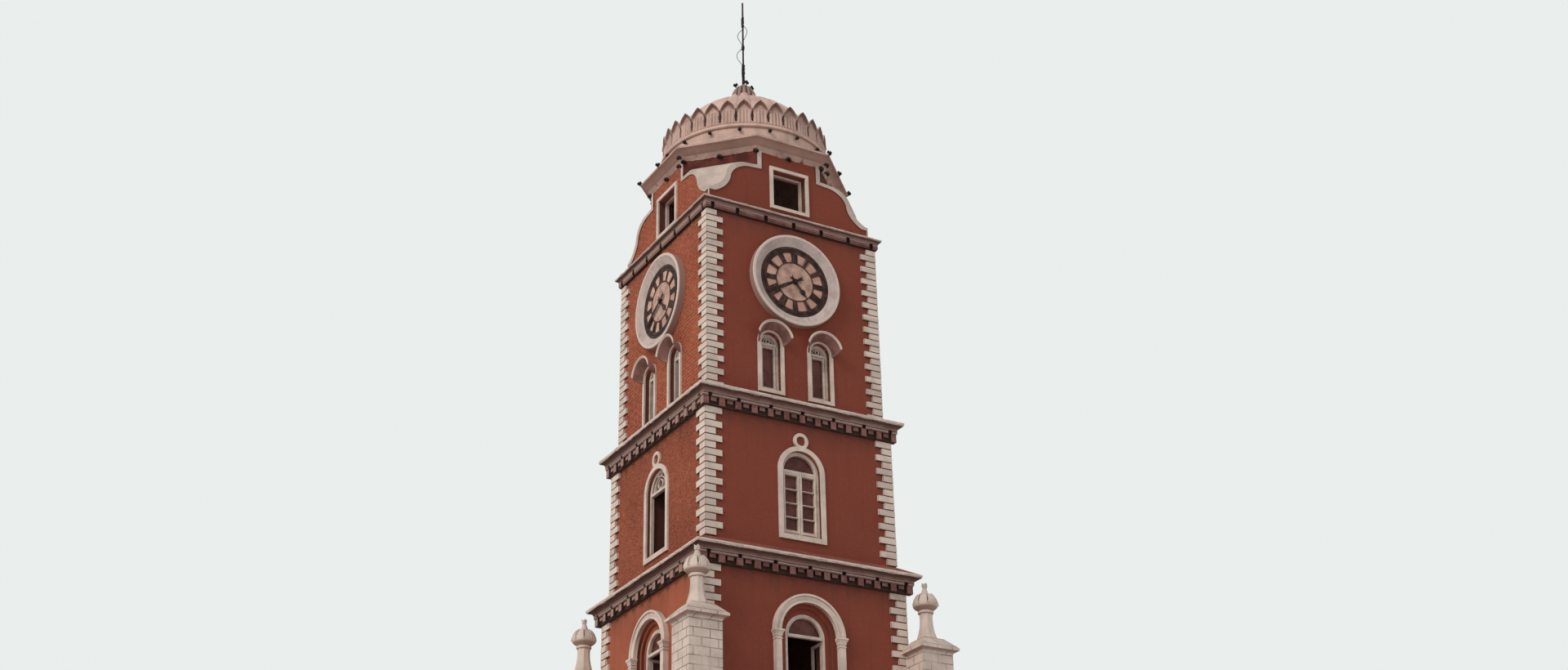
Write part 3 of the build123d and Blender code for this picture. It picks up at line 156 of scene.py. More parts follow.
class StoneSettings(PropertyGroup):
    """Sizes of the corner stones"""
    course: FloatProperty(name="Course", description="Height of one corner stone",
                          default=0.154, unit="LENGTH")
    short: FloatProperty(name="Short reach", description="Reach of a short stone from the corner",
                         default=0.207, unit="LENGTH")
    long: FloatProperty(name="Long reach", description="Reach of a long stone from the corner",
                        default=0.355, unit="LENGTH")
    proud: FloatProperty(name="Proud", description="How far a stone's face stands off its wall",
                         default=0.040, unit="LENGTH")
    joint: FloatProperty(name="Joint", description="Open joint between two stones",
                         default=0.013, unit="LENGTH")
    deep: FloatProperty(name="Joint depth", description="How far the mortar lies behind the stones' faces",
                        default=0.014, unit="LENGTH")
    wear: FloatProperty(name="Wear", description="How uneven the stones' edges are",
                        default=0.004, unit="LENGTH")


class LipSettings(PropertyGroup):
    """Sizes of the plaster on the cornices' noses and the eave's edge"""
    proud: FloatProperty(name="Proud", description="Thickness of the plaster on a cornice's nose",
                         default=0.012, unit="LENGTH")
    rough: FloatProperty(name="Unevenness", description="How far the plaster wanders",
                         default=0.010, unit="LENGTH")
    chip: FloatProperty(name="Chip depth", description="Depth of the broken places",
                        default=0.022, unit="LENGTH")
    step: FloatProperty(name="Step", description="Length of one facet along the nose",
                        default=0.022, unit="LENGTH")
    hang: FloatProperty(name="Hang", description="How far the eave's broken edge hangs",
                        default=0.045, unit="LENGTH")


class JoinerySettings(PropertyGroup):
    """Sizes of the windows and their leaves"""
    arched_half: FloatProperty(name="Arched window half width",
                               description="Half width of an arched window hole",
                               default=0.450, unit="LENGTH")
    narrow_half: FloatProperty(name="Narrow window half width",
                               description="Half width of a narrow window hole",
                               default=0.236, unit="LENGTH")
    narrow_place: FloatProperty(name="Narrow window place",
                                description="Distance of a narrow window from the middle",
                                default=0.607, unit="LENGTH")
    frame: FloatProperty(name="Frame", description="Width of a window's frame", default=0.050, unit="LENGTH")
    bar: FloatProperty(name="Glazing bar", description="Width of a glazing bar", default=0.022, unit="LENGTH")
    stile: FloatProperty(name="Stile", description="Width of a casement's stiles and rails",
                         default=0.052, unit="LENGTH")
    panes: IntProperty(name="Panes", description="Panes in the height of one casement", default=4, min=1)


class BudSettings(PropertyGroup):
    """Sizes of the pinnacles' buds"""
    petals: IntProperty(name="Petals", description="Petals round a bud", default=8, min=3)
    spread: FloatProperty(name="Spread", description="Distance of a rim from the middle of its gap",
                          default=0.026, unit="LENGTH")
    thick: FloatProperty(name="Thickness", description="Radius of a rim", default=0.010, unit="LENGTH")
    radius: FloatProperty(name="Radius", description="Greatest radius of a bud", default=0.255, unit="LENGTH")
    rise: FloatProperty(name="Rise", description="Height of a bud above its widest place", default=0.510,
                        unit="LENGTH")


class DomeSettings(PropertyGroup):
    """Sizes of the dome, its petals and its cup"""
    centre: FloatProperty(name="Centre", description="Height of the dome's centre", default=DOME_FOOT - 0.110,
                          unit="LENGTH")
    radius: FloatProperty(name="Radius", description="Outer radius of the dome", default=1.835, unit="LENGTH")
    flat: FloatProperty(name="Flatness", description="Height of the dome as a share of its radius",
                        default=0.965)
    thick: FloatProperty(name="Thickness", description="Thickness of the dome", default=0.140, unit="LENGTH")
    shoulder: FloatProperty(name="Shoulder", description="Height of the low points between two petals",
                            default=0.375, unit="LENGTH")
    arch: FloatProperty(name="Arch", description="Height of a petal's arched head",
                        default=0.625, unit="LENGTH")
    curl: FloatProperty(name="Curl", description="How far a petal's rim curls out",
                        default=0.068, unit="LENGTH")
    face: FloatProperty(name="Petal face", description="Radius of the petals at their foot", default=1.900,
                        unit="LENGTH")
    phase: FloatProperty(name="Phase", description="Turn of the petals about the axis",
                         default=PETAL_PHASE, subtype="ANGLE")
    rib: FloatProperty(name="Rib", description="How far a petal's ribs stand out",
                       default=0.030, unit="LENGTH")
    slit_depth: FloatProperty(name="Slit depth", description="Depth of the slits between petals",
                              default=0.150, unit="LENGTH")
    cup_ribs: IntProperty(name="Cup ribs", description="Ribs round the cup", default=14, min=6)


class MastSettings(PropertyGroup):
    """Sizes of the mast's wires"""
    wire: FloatProperty(name="Wire radius", description="Radius of the wires tied to the mast",
                        default=0.009, unit="LENGTH")
    bow: FloatProperty(name="Bow", description="How far the slackest wire stands off the mast",
                       default=0.125, unit="LENGTH")


class LampSettings(PropertyGroup):
    """Sizes of the small lamps"""
    bulb: FloatProperty(name="Lamp radius", description="Radius of one small lamp",
                        default=0.036, unit="LENGTH")
    spread: FloatProperty(name="Spread", description="Distance of the lamps of one cluster from its middle",
                          default=0.044, unit="LENGTH")
    cup_lamps: IntProperty(name="Cup lamps", description="Clusters round the cup", default=4, min=1)


class StageSettings(PropertyGroup):
    """Camera, lights and backdrop"""
    eye: FloatVectorProperty(name="Eye", description="Where the viewer stands",
                             default=(-18.012, -32.359, 1.625), subtype="TRANSLATION", unit="LENGTH")
    heading: FloatProperty(name="Heading", description="Direction of view, clockwise from +Y",
                           default=radians(30.390), subtype="ANGLE", unit="ROTATION")
    lift: FloatProperty(name="Lift", description="How far the view looks up",
                        default=radians(26.281), subtype="ANGLE", unit="ROTATION")
    roll: FloatProperty(name="Roll", description="Tilt of the view about its own line",
                        default=radians(-1.358), subtype="ANGLE", unit="ROTATION")
    lens: FloatProperty(name="Lens", description="Focal length on a 36 mm wide frame",
                        default=42.162, unit="CAMERA")
    key: FloatProperty(name="Key", description="Strength of the soft light from the left",
                       default=0.45, min=0)
    sky: FloatProperty(name="Sky", description="Strength of the light from all round", default=0.62, min=0)
    backdrop: FloatVectorProperty(name="Backdrop", description="Pale colour behind the tower",
                                  default=(0.82, 0.86, 0.85), subtype="COLOR", min=0, max=1)


# ---------------------------------------------------------------- surfaces

def on_face(points, face):
    """Points (across, out, up) on a face: x = across and y = -out on the front, and a quarter turn for each
    face after it."""
    across, out, up = points[..., 0], points[..., 1], points[..., 2]
    turn = face * pi / 2
    return np.stack((across * cos(turn) + out * sin(turn), across * sin(turn) - out * cos(turn), up), axis=-1)


def about_axis(points, turn):
    """Points turned by an angle about the tower's axis."""
    x, y, z = points[..., 0], points[..., 1], points[..., 2]
    return np.stack((x * cos(turn) - y * sin(turn), x * sin(turn) + y * cos(turn), z), axis=-1)


def facing_out(points, quads):
    """Quads in the order that gives the closed surface a positive volume."""
    a, b, c, d = (points[quads[:, index]] for index in range(4))
    volume = (np.cross(b - a, c - a) * a).sum() + (np.cross(c - a, d - a) * a).sum()
    return quads if volume > 0 else quads[:, ::-1]


def skin(rows, around=False):
    """Quads over a grid of points. Each row is a closed section, and rows may run round to the first again.

    An open run of rows is closed at each end by drawing its section in to the section's middle.
    """
    if not around:
        first, last = (np.broadcast_to(rows[end].mean(axis=0), rows[:1].shape) for end in (0, -1))
        rows = np.concatenate((first, rows, last))
    count, size = rows.shape[:2]
    i, j = np.meshgrid(np.arange(count if around else count - 1), np.arange(size), indexing="ij")
    near, far = i * size, (i + 1) % count * size
    j_next = (j + 1) % size
    quads = np.stack((near + j, near + j_next, far + j_next, far + j), axis=-1).reshape(-1, 4)
    points = rows.reshape(-1, 3)
    return points, facing_out(points, quads)


def piece(name, skins, slot, finish=None, sharp=30, body="tower"):
    """One object from several skins, shaded smooth except at sharp edges, riding on a body."""
    offsets = np.cumsum([0] + [len(points) for points, _ in skins[:-1]])
    points = np.concatenate([points for points, _ in skins])
    quads = np.concatenate([quads + offset for (_, quads), offset in zip(skins, offsets)])
    mesh = bpy.data.meshes.new(name)
    mesh.vertices.add(len(points))
    mesh.vertices.foreach_set("co", points.astype(np.float32).ravel())
    mesh.loops.add(quads.size)
    mesh.loops.foreach_set("vertex_index", quads.astype(np.int32).ravel())
    mesh.polygons.add(len(quads))
    mesh.polygons.foreach_set("loop_start", np.arange(0, quads.size, 4, dtype=np.int32))
    mesh.update(calc_edges=True)
    mesh.validate()
    merged = merged_ends(mesh)
    merged.shade_smooth()
    merged.set_sharp_from_angle(angle=radians(sharp))
    made = bpy.data.objects.new(name, merged)
    bpy.context.scene.collection.objects.link(made)
    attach(made, body)
    merged.materials.append(MADE[finish or slot])
    return made


def merged_ends(mesh):
    """The mesh with the points of its drawn-in ends merged, and the faces that this flattens dropped."""
    work = bmesh.new()
    work.from_mesh(mesh)
    bmesh.ops.remove_doubles(work, verts=work.verts, dist=1e-6)
    bmesh.ops.dissolve_degenerate(work, edges=work.edges, dist=1e-7)
    work.to_mesh(mesh)
    work.free()
    return mesh


def hashed(i, j, k):
    """Repeatable value from 0 to 1 at whole-number places."""
    mixed = (i * 73856093) ^ (j * 19349663) ^ (k * 83492791)
    mixed = ((mixed ^ (mixed >> 13)) * 1274126177) & 0x7FFFFFFF
    return ((mixed ^ (mixed >> 16)) & 0xFFFFFF) / 0xFFFFFF


def unevenness(points, size):
    """Smooth random value from -1 to 1: values hashed at places `size` apart, blended along each axis."""
    scaled = points / size
    low = np.floor(scaled).astype(np.int64)
    part = scaled - low
    part = part * part * (3 - 2 * part)
    total = np.zeros(points.shape[:-1])
    for corner in np.ndindex(2, 2, 2):
        weight = np.ones(points.shape[:-1])
        for axis, step in enumerate(corner):
            weight = weight * (part[..., axis] if step else 1 - part[..., axis])
        total += weight * hashed(*(low[..., axis] + corner[axis] for axis in range(3)))
    return 2 * total - 1


def straight(start, end, count=2):
    """Points evenly spaced along a line."""
    share = np.linspace(0, 1, count)[:, None]
    return np.asarray(start) * (1 - share) + np.asarray(end) * share


def arc(centre, radius, start, end, count):
    """Points evenly spaced along an arc, by angles from the first axis."""
    angle = np.linspace(start, end, count)
    return np.stack((centre[0] + radius * np.cos(angle), centre[1] + radius * np.sin(angle)), axis=-1)


def bar(path, width, back, front, face):
    """Chamfered bar along a path (across, up): at each point its section lies along the path's normal,
    `width` wide, from `back` to `front` out from the axis, with its two front edges chamfered."""
    ahead = np.gradient(path, axis=0)
    normal = np.stack((-ahead[:, 1], ahead[:, 0]), axis=-1)
    normal /= np.linalg.norm(normal, axis=1, keepdims=True)
    half, bevel = width / 2, min(0.28 * width, 0.4 * (front - back))
    side = np.array([half, half, half - bevel, bevel - half, -half, -half])
    out = np.array([back, front - bevel, front, front, front - bevel, back])
    flat = path[:, None, :] + normal[:, None, :] * side[None, :, None]
    rows = np.stack((flat[..., 0], np.broadcast_to(out, flat.shape[:2]), flat[..., 1]), axis=-1)
    return skin(on_face(rows, face))


def tube(path, radius, sides=8):
    """Round tube along a path in space: circles of the radius across the path's direction."""
    ahead = np.gradient(path, axis=0)
    ahead /= np.linalg.norm(ahead, axis=1, keepdims=True)
    first = np.cross(ahead, np.array([0.31, 0.87, 0.39]))
    first /= np.linalg.norm(first, axis=1, keepdims=True)
    second = np.cross(ahead, first)
    angle = np.linspace(0, 2 * pi, sides, endpoint=False)
    rows = path[:, None] + radius * (first[:, None] * np.cos(angle)[None, :, None]
                                     + second[:, None] * np.sin(angle)[None, :, None])
    return skin(rows)


# ---------------------------------------------------------------- corner stones

def stone(half, reach, foot, head, settings, seed):
    """One corner stone, an L in plan: its outline at four heights, drawn in by a chamfer at the foot and head
    and moved by the unevenness of the place."""
    face = half + settings.proud
    bevel = 0.007
    end = reach - half
    sink = half - 0.02
    back, tip = bevel - face, end - bevel
    full = np.array([(back, -face), (tip, -face), (end, back), (end, -sink), (-sink, -sink), (-sink, end),
                     (back, end), (-face, tip), (-face, back)])
    inner = np.array([(back, back), (tip, back), (tip, back), (tip, -sink), (-sink, -sink), (-sink, tip),
                      (back, tip), (back, tip), (back, back)])
    low, high = foot + settings.joint / 2, head - settings.joint / 2
    levels = ((inner, low), (full, low + bevel), (full, high - bevel), (inner, high))
    rows = np.stack([np.column_stack((outline, np.full(len(outline), height))) for outline, height in levels])
    moved = np.stack([unevenness(rows + 7.3 * (seed % 13) + 31.7 * axis, 0.06) for axis in range(3)], axis=-1)
    tilt = 0.35 * settings.wear * (2 * hashed(seed, seed // 7, 3) - 1)
    rows = rows + settings.wear * 0.5 * moved
    rows[..., 0] += tilt
    rows[..., 1] += tilt
    return rows


def mortar(half, reach, foot, head, settings):
    """Mortar behind one corner stone: the same L in plan, set back from the stone's faces and drawn straight
    up."""
    face = half + settings.proud - settings.deep
    end = reach - half - 0.006
    sink = half - 0.02
    outline = np.array([(-face, -face), (end, -face), (end, -sink),
                        (-sink, -sink), (-sink, end), (-face, end)])
    return np.stack([np.column_stack((outline, np.full(6, height))) for height in (foot, head)])


class TOWER_OT_stones(Operator):
    """Corner stones of the five storeys, long and short by turns"""
    bl_idname = "tower.stones"
    bl_label = "Corner stones"

    def execute(self, context):
        s = context.scene.tower_stones
        rise = top_of("middle_cornice") - SECOND_TOP
        slope = top_of("lower_cornice") - FIRST_TOP
        storeys = (
            (FIRST_HALF, top_of("plinth"), GROUND_TOP - LOWER_CORNICE_HEIGHT, 1),
            (FIRST_HALF, GROUND_TOP + rise, LOWER_TOP - LOWER_CORNICE_HEIGHT, 1),
            (FIRST_HALF, LOWER_TOP + rise, FIRST_TOP - LOWER_CORNICE_HEIGHT, 1),
            (SECOND_HALF, FIRST_TOP + slope, SECOND_TOP - MIDDLE_CORNICE_HEIGHT, 1),
            (CLOCK_HALF, SECOND_TOP + rise, CLOCK_TOP - UPPER_CORNICE_HEIGHT, 0),
        )
        skins, joints = [], []
        for half, foot, head, first_long in storeys:
            count = 2 * round((head - foot) / (2 * s.course))
            course = (head - foot) / count
            for index in range(count):
                reach = s.long if index % 2 == first_long else s.short
                for corner in FACES:
                    low = foot + index * course
                    rows = stone(half, reach + 0.003, low, low + course, s, 17 * len(skins) + 5)
                    skins.append(skin(about_axis(rows, corner * pi / 2)))
                    rows = mortar(half, reach, low, low + course, s)
                    joints.append(skin(about_axis(rows, corner * pi / 2)))
        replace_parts(piece("quoin_stones", skins, "quoin_stone", sharp=25), "quoins")
        piece("quoin_mortar", joints, "quoin_stone", "mortar")
        return {"FINISHED"}


# ---------------------------------------------------------------- cornice noses

def ragged_ring(section, free, sides, s, chip, seed=0.0):
    """Plaster run round the tower: a section (out, up) at even steps of each side. A side's point at share t
    from -1 to 1 lies at (t * out * tan(pi / sides), -out, up), and is then moved by the unevenness of the
    place, with chips cut back where that is high. `free` says how far each point of the section may move."""
    reach = section[:, 0].max() * np.tan(pi / sides)
    count = round(2 * reach / s.step)
    share = np.linspace(-1, 1, count, endpoint=False)
    out = np.broadcast_to(section[None, :, 0], (count, len(section)))
    up = np.broadcast_to(section[None, :, 1], (count, len(section)))
    side = np.stack((share[:, None] * out * np.tan(pi / sides), -out, up), axis=-1)
    rows = np.concatenate([about_axis(side, 2 * pi * index / sides) for index in range(sides)])
    outward = rows[..., :2] / np.linalg.norm(rows[..., :2], axis=-1, keepdims=True)
    wander = s.rough * (0.6 * unevenness(rows + seed, 0.16) + 0.4 * unevenness(rows + seed + 5.1, 0.045))
    chips = np.clip(unevenness(rows * (1, 1, 0.5) + seed + 11.9, 0.11) * 2.2 - 0.95, 0, 1)
    rows = rows.copy()
    rows[..., :2] += outward * (free * (wander - chip * chips))[..., None]
    rows[..., 2] += free * 0.5 * s.rough * unevenness(rows + seed + 21.3, 0.07)
    return rows, free * chips


def lip(tip, top, height, s):
    """Plaster on a cornice's nose, with broken places."""
    low = top - 0.13 * height
    section = np.array([(tip - 0.060, low - 0.004), (tip - 0.018, low - 0.006),
                        (tip + 0.4 * s.proud, low + 0.004), (tip + s.proud, low + 0.35 * (top - low)),
                        (tip + 0.8 * s.proud, top - 0.004), (tip - 0.012, top + 0.010),
                        (tip - 0.060, top + 0.012), (tip - 0.075, top - 0.030)])
    free = np.array([0.0, 0.6, 1.0, 1.0, 1.0, 0.7, 0.1, 0.0])
    rows, _ = ragged_ring(section, free, 4, s, s.chip)
    return skin(rows, around=True)


def drip(edge, under, s):
    """Broken lower edge of the eave's cove: a hanging strip whose foot rises where the plaster has gone."""
    wall = edge - 0.003
    section = np.array([(wall, under + 0.050), (wall, under + 0.006), (wall, under - s.hang),
                        (edge + 0.014, under - s.hang), (edge + 0.034, under - 0.35 * s.hang),
                        (edge + 0.085, under + 0.052), (edge + 0.060, under + 0.070)])
    free = np.array([0.0, 0.0, 1.0, 1.0, 0.8, 0.1, 0.0])
    rows, chips = ragged_ring(section, free, 8, s, 0.010, 3.7)
    rows[..., 2] += s.hang * (1.2 * np.clip(1.8 * chips, 0, 1) + 0.45 * free * unevenness(rows + 1.9, 0.09))
    return skin(rows, around=True)


class TOWER_OT_noses(Operator):
    """Broken white plaster on the cornices' noses and the eave's lower edge"""
    bl_idname = "tower.noses"
    bl_label = "Cornice noses"

    def execute(self, context):
        s = context.scene.tower_noses
        piece("cornice_noses", [lip(*cornice, s) for cornice in CORNICES[2:]], "white_masonry", sharp=35)
        piece("eave_drip", [drip(ATTIC_HALF, foot_of("eave"), s)], "cream_plaster", "eave_plaster", sharp=35)
        return {"FINISHED"}


# ---------------------------------------------------------------- joinery

LAP = 0.004  # how far beads and leaves reach over a frame's edge
MEETING = 0.005  # half the gap between two leaves
LEAF_DEPTH = 0.066  # from a frame's face to the back of its leaves
HEAD_GAP = 0.034  # drop from the springing to the leaves' heads
BEAD = 0.030  # width of the bead round an arched head


def casement(left, right, foot, head, back, front, s, face, panes):
    """One glazed leaf: stiles, rails and the bars between its panes."""
    skins = []
    half = s.stile / 2
    for x in (left + half, right - half):
        skins.append(bar(straight((x, foot), (x, head)), s.stile, back, front, face))
    for z in (foot + half, head - half):
        skins.append(bar(straight((left + s.stile, z), (right - s.stile, z)), s.stile, back, front, face))
    rise = (head - foot - 2 * s.stile) / panes
    for index in range(1, panes):
        z = foot + s.stile + index * rise
        path = straight((left + s.stile, z), (right - s.stile, z))
        skins.append(bar(path, s.bar, back, front - 0.006, face))
    return skins


def casement_pair(clear, foot, head, back, front, s, face):
    """Two leaves that meet in the middle of an arched window."""
    return (casement(LAP - clear, -MEETING, foot, head, back, front, s, face, s.panes)
            + casement(MEETING, clear - LAP, foot, head, back, front, s, face, s.panes))


def arch_bead(half, spring, width, back, front, face, x=0.0):
    """Bead round an arched head, standing on the springing."""
    return bar(arc((x, spring), half - width / 2, 0, pi, 33), width, back, front, face)


def tracery(half, spring, width, back, front, face, x=0.0):
    """Two arcs of the window's own radius that spring from its sides and cross under its crown, and a ring
    where they cross."""
    reach = half - width / 2
    skins = []
    for side in (-1, 1):
        angle = np.linspace(0, pi / 2.05, 15)
        across = x + side * reach * (np.cos(angle) - 0.32)
        path = np.stack((across, spring + 0.80 * reach * np.sin(angle)), axis=-1)
        skins.append(bar(path, width, back, front, face))
    ring = arc((x, spring + 0.30 * reach), 0.26 * reach, 0, 2 * pi, 25)
    skins.append(bar(ring, width, back, front - 0.004, face))
    return skins


class TOWER_OT_joinery(Operator):
    """Casements, glazing bars and tracery of the windows"""
    bl_idname = "tower.joinery"
    bl_label = "Joinery"

    def execute(self, context):
        s = context.scene.tower_joinery
        skins = []
        clear = s.arched_half - s.frame
        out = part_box("second_window_frames")[1].x
        foot = foot_of("second_window_frames") + s.frame + LAP
        spring = top_of("second_window_frames") - s.arched_half
        back = out - LEAF_DEPTH
        for face in FACES:
            skins.append(arch_bead(clear + LAP, spring, BEAD, back, out + 0.008, face))
            if face == LEFT:
                skins += tracery(clear, spring + 0.03, 0.026, back, out - 0.004, face)
            else:
                skins += casement_pair(clear, foot, spring - HEAD_GAP, back, out + 0.006, s, face)

        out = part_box("small_window_frames")[1].x
        foot = foot_of("small_window_frames") + s.frame + LAP
        spring = top_of("small_window_frames") - s.narrow_half
        narrow = s.narrow_half - s.frame
        back, front = out - 0.060, out - 0.006
        for face in FACES:
            for x in (-s.narrow_place, s.narrow_place):
                skins += tracery(narrow, spring + 0.03, 0.020, back, front, face, x)
                skins.append(arch_bead(narrow + LAP, spring, 0.022, back, out + 0.006, face, x))
                if face != LEFT:
                    skins += casement(x - narrow + LAP, x + narrow - LAP, foot, spring - HEAD_GAP,
                                      back, front, s, face, 1)

        # The arched windows of the three lower storeys stand over each other, with the doorway in place of
        # the front's lowest one
        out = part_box("first_window_frames")[1].x
        back = out - LEAF_DEPTH
        first = top_of("first_window_frames") - s.arched_half
        springs = (first, first - (FIRST_TOP - LOWER_TOP), first - (FIRST_TOP - GROUND_TOP))
        for face in FACES:
            for spring in springs:
                if spring > GROUND_TOP or face != FRONT:
                    skins.append(arch_bead(clear + LAP, spring, BEAD, back, out + 0.008, face))
        sill = foot_of("lower_window_frames")
        rise = springs[2] - sill
        for foot in (sill, sill + LOWER_TOP - GROUND_TOP):
            for face in FACES:
                if foot > GROUND_TOP or face != FRONT:
                    skins += casement_pair(clear, foot + s.frame + LAP, foot + rise - HEAD_GAP,
                                           back, out + 0.006, s, face)
        piece("glazing_bars", skins, "white_joinery")
        return {"FINISHED"}


# ---------------------------------------------------------------- hood rims

class TOWER_OT_rims(Operator):
    """Thin rolled rims of the window hoods"""
    bl_idname = "tower.rims"
    bl_label = "Hood rims"

    def execute(self, context):
        s = context.scene.tower_joinery
        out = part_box("window_hoods")[1].x
        spring = top_of("small_window_frames") - s.narrow_half
        lip_radius = top_of("window_hoods") - spring
        rim_radius, rim_foot = 0.017, 0.112
        start = np.arcsin(rim_foot / lip_radius)
        skins = []
        for face in FACES:
            for x in (-s.narrow_place, s.narrow_place):
                path = arc((x, spring), lip_radius - 0.010, start, pi - start, 41)
                rows = np.stack((path[:, 0], np.full(len(path), out - 0.004), path[:, 1]), axis=-1)
                skins.append(tube(on_face(rows, face), rim_radius))
        piece("hood_rims", skins, "white_masonry", sharp=60)
        return {"FINISHED"}


# ---------------------------------------------------------------- lotus buds

def bud_radius(share):
    """Radius of a bud at a share of the height from its widest place to its tip, up to its petals' ends."""
    return np.interp(share, (0.0, 0.15, 0.30, 0.39, 0.45, 0.52), (0.262, 0.249, 0.220, 0.192, 0.165, 0.135))


def slit_rim(centre, widest, rise, turn, s):
    """Raised rim of the gap between two petals of a bud: down one side of the gap, round its foot and up the
    other. At share t from -1 to 1 of the path its height is 0.030 + 0.45 * |t| ^ 1.25 of the bud's rise, it
    is `spread` off the gap's middle but for the round foot, and it lies on the bud's surface."""
    share = np.linspace(-1, 1, 41)
    height = 0.030 + 0.45 * np.abs(share) ** 1.25
    aside = s.spread * np.sin(np.clip(np.abs(share) / 0.16, 0, 1) * pi / 2) * np.sign(share)
    aside = aside * (1 - 0.55 * height)
    radius = bud_radius(height) + 0.35 * s.thick
    angle = turn + aside / radius
    path = np.stack((radius * np.cos(angle), radius * np.sin(angle), height * rise), axis=-1)
    return tube(path + np.array([centre[0], centre[1], widest]), s.thick, 7)


def petal_lobe(centre, tip, turn, s):
    """Tip of one petal, curled out below the bud's point: across it u and along it v, its half width is
    0.046 * sin(pi * (0.15 + 0.80 * v)), and it leans out with v squared; a second skin behind closes it."""
    u, v = np.meshgrid(np.linspace(-1, 1, 7), np.linspace(0, 1, 8), indexing="ij")
    half_width = 0.046 * np.sin(pi * (0.15 + 0.80 * v))
    out = 0.046 - 0.012 * v + 0.032 * v ** 2 - 0.008 * u ** 2
    front = np.stack((out, u * half_width, -0.125 + 0.105 * v), axis=-1)
    behind = front - np.array([1.6 * s.thick, 0, 0])
    behind[:, -1] = front[:, -1] - (0.3 * s.thick, 0, 0.4 * s.thick)
    rows = np.concatenate((front, behind[::-1]), axis=0).transpose(1, 0, 2)
    return skin(about_axis(rows, turn) + np.array([centre[0], centre[1], tip]))


class TOWER_OT_buds(Operator):
    """Rims of the gaps between the petals of the pinnacles' buds, and the petals' curled tips"""
    bl_idname = "tower.buds"
    bl_label = "Bud petals"

    def execute(self, context):
        s = context.scene.tower_buds
        tip = top_of("pinnacles")
        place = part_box("pinnacles")[1].x - s.radius
        skins = []
        for corner in FACES:
            centre = about_axis(np.array([-place, -place, 0.0]), corner * pi / 2)
            for index in range(s.petals):
                turn = 2 * pi * index / s.petals
                skins.append(slit_rim(centre, tip - s.rise, s.rise, turn + pi / s.petals, s))
                if index % 2 == 0:
                    skins.append(petal_lobe(centre, tip, turn, s))
        piece("bud_petals", skins, "pier_masonry", "pinnacle_white", sharp=50)
        return {"FINISHED"}


# ---------------------------------------------------------------- dome, petals and cup

def turns_of(count, columns, first=0.0):
    """For a ring of like parts: each column's share from -1 to 1 across its part, and its angle about the
    axis."""
    share = np.linspace(-1, 1, columns, endpoint=False)
    angle = (np.arange(count)[:, None] + 0.5 + 0.5 * share[None]) * 2 * pi / count + first
    return np.tile(share, count), angle.ravel()


def turned(radius, height, angle):
    """Closed skin of a form turned about the axis: for each angle one closed section of radii and heights."""
    turn = angle[:, None]
    up = np.broadcast_to(height, radius.shape)
    return skin(np.stack((radius * np.cos(turn), radius * np.sin(turn), up), axis=-1), around=True)


def smooth(value, low, high):
    """0 at the low value and 1 at the high one, with level ends."""
    share = np.clip((value - low) / (high - low), 0, 1)
    return share * share * (3 - 2 * share)


def dome_shell(s):
    """Dome of many gores, a little flatter than half a ball: a gore swells by 1 - share ^ 2 across and is cut
    in at its sides by share ^ 8."""
    share, angle = turns_of(PETALS, 14, s.phase)
    foot = np.arcsin((DOME_FOOT - s.centre) / (s.flat * s.radius))
    lift = np.linspace(foot, pi / 2, 30)[None]
    gore = 0.016 * (1 - share ** 2)[:, None] - 0.012 * (share ** 8)[:, None]
    radius = s.radius * np.cos(lift)
    radius = radius + gore * smooth(radius, 0.0, 0.9)
    inside = s.radius - s.thick
    back = np.linspace(pi / 2, foot, 14)[None]
    hollow = np.broadcast_to(inside * np.cos(back), (len(share), 14))
    height = np.concatenate((s.flat * s.radius * np.sin(lift), s.flat * inside * np.sin(back)), axis=1)
    return turned(np.maximum(np.concatenate((radius, hollow), axis=1), 0), s.centre + height, angle)


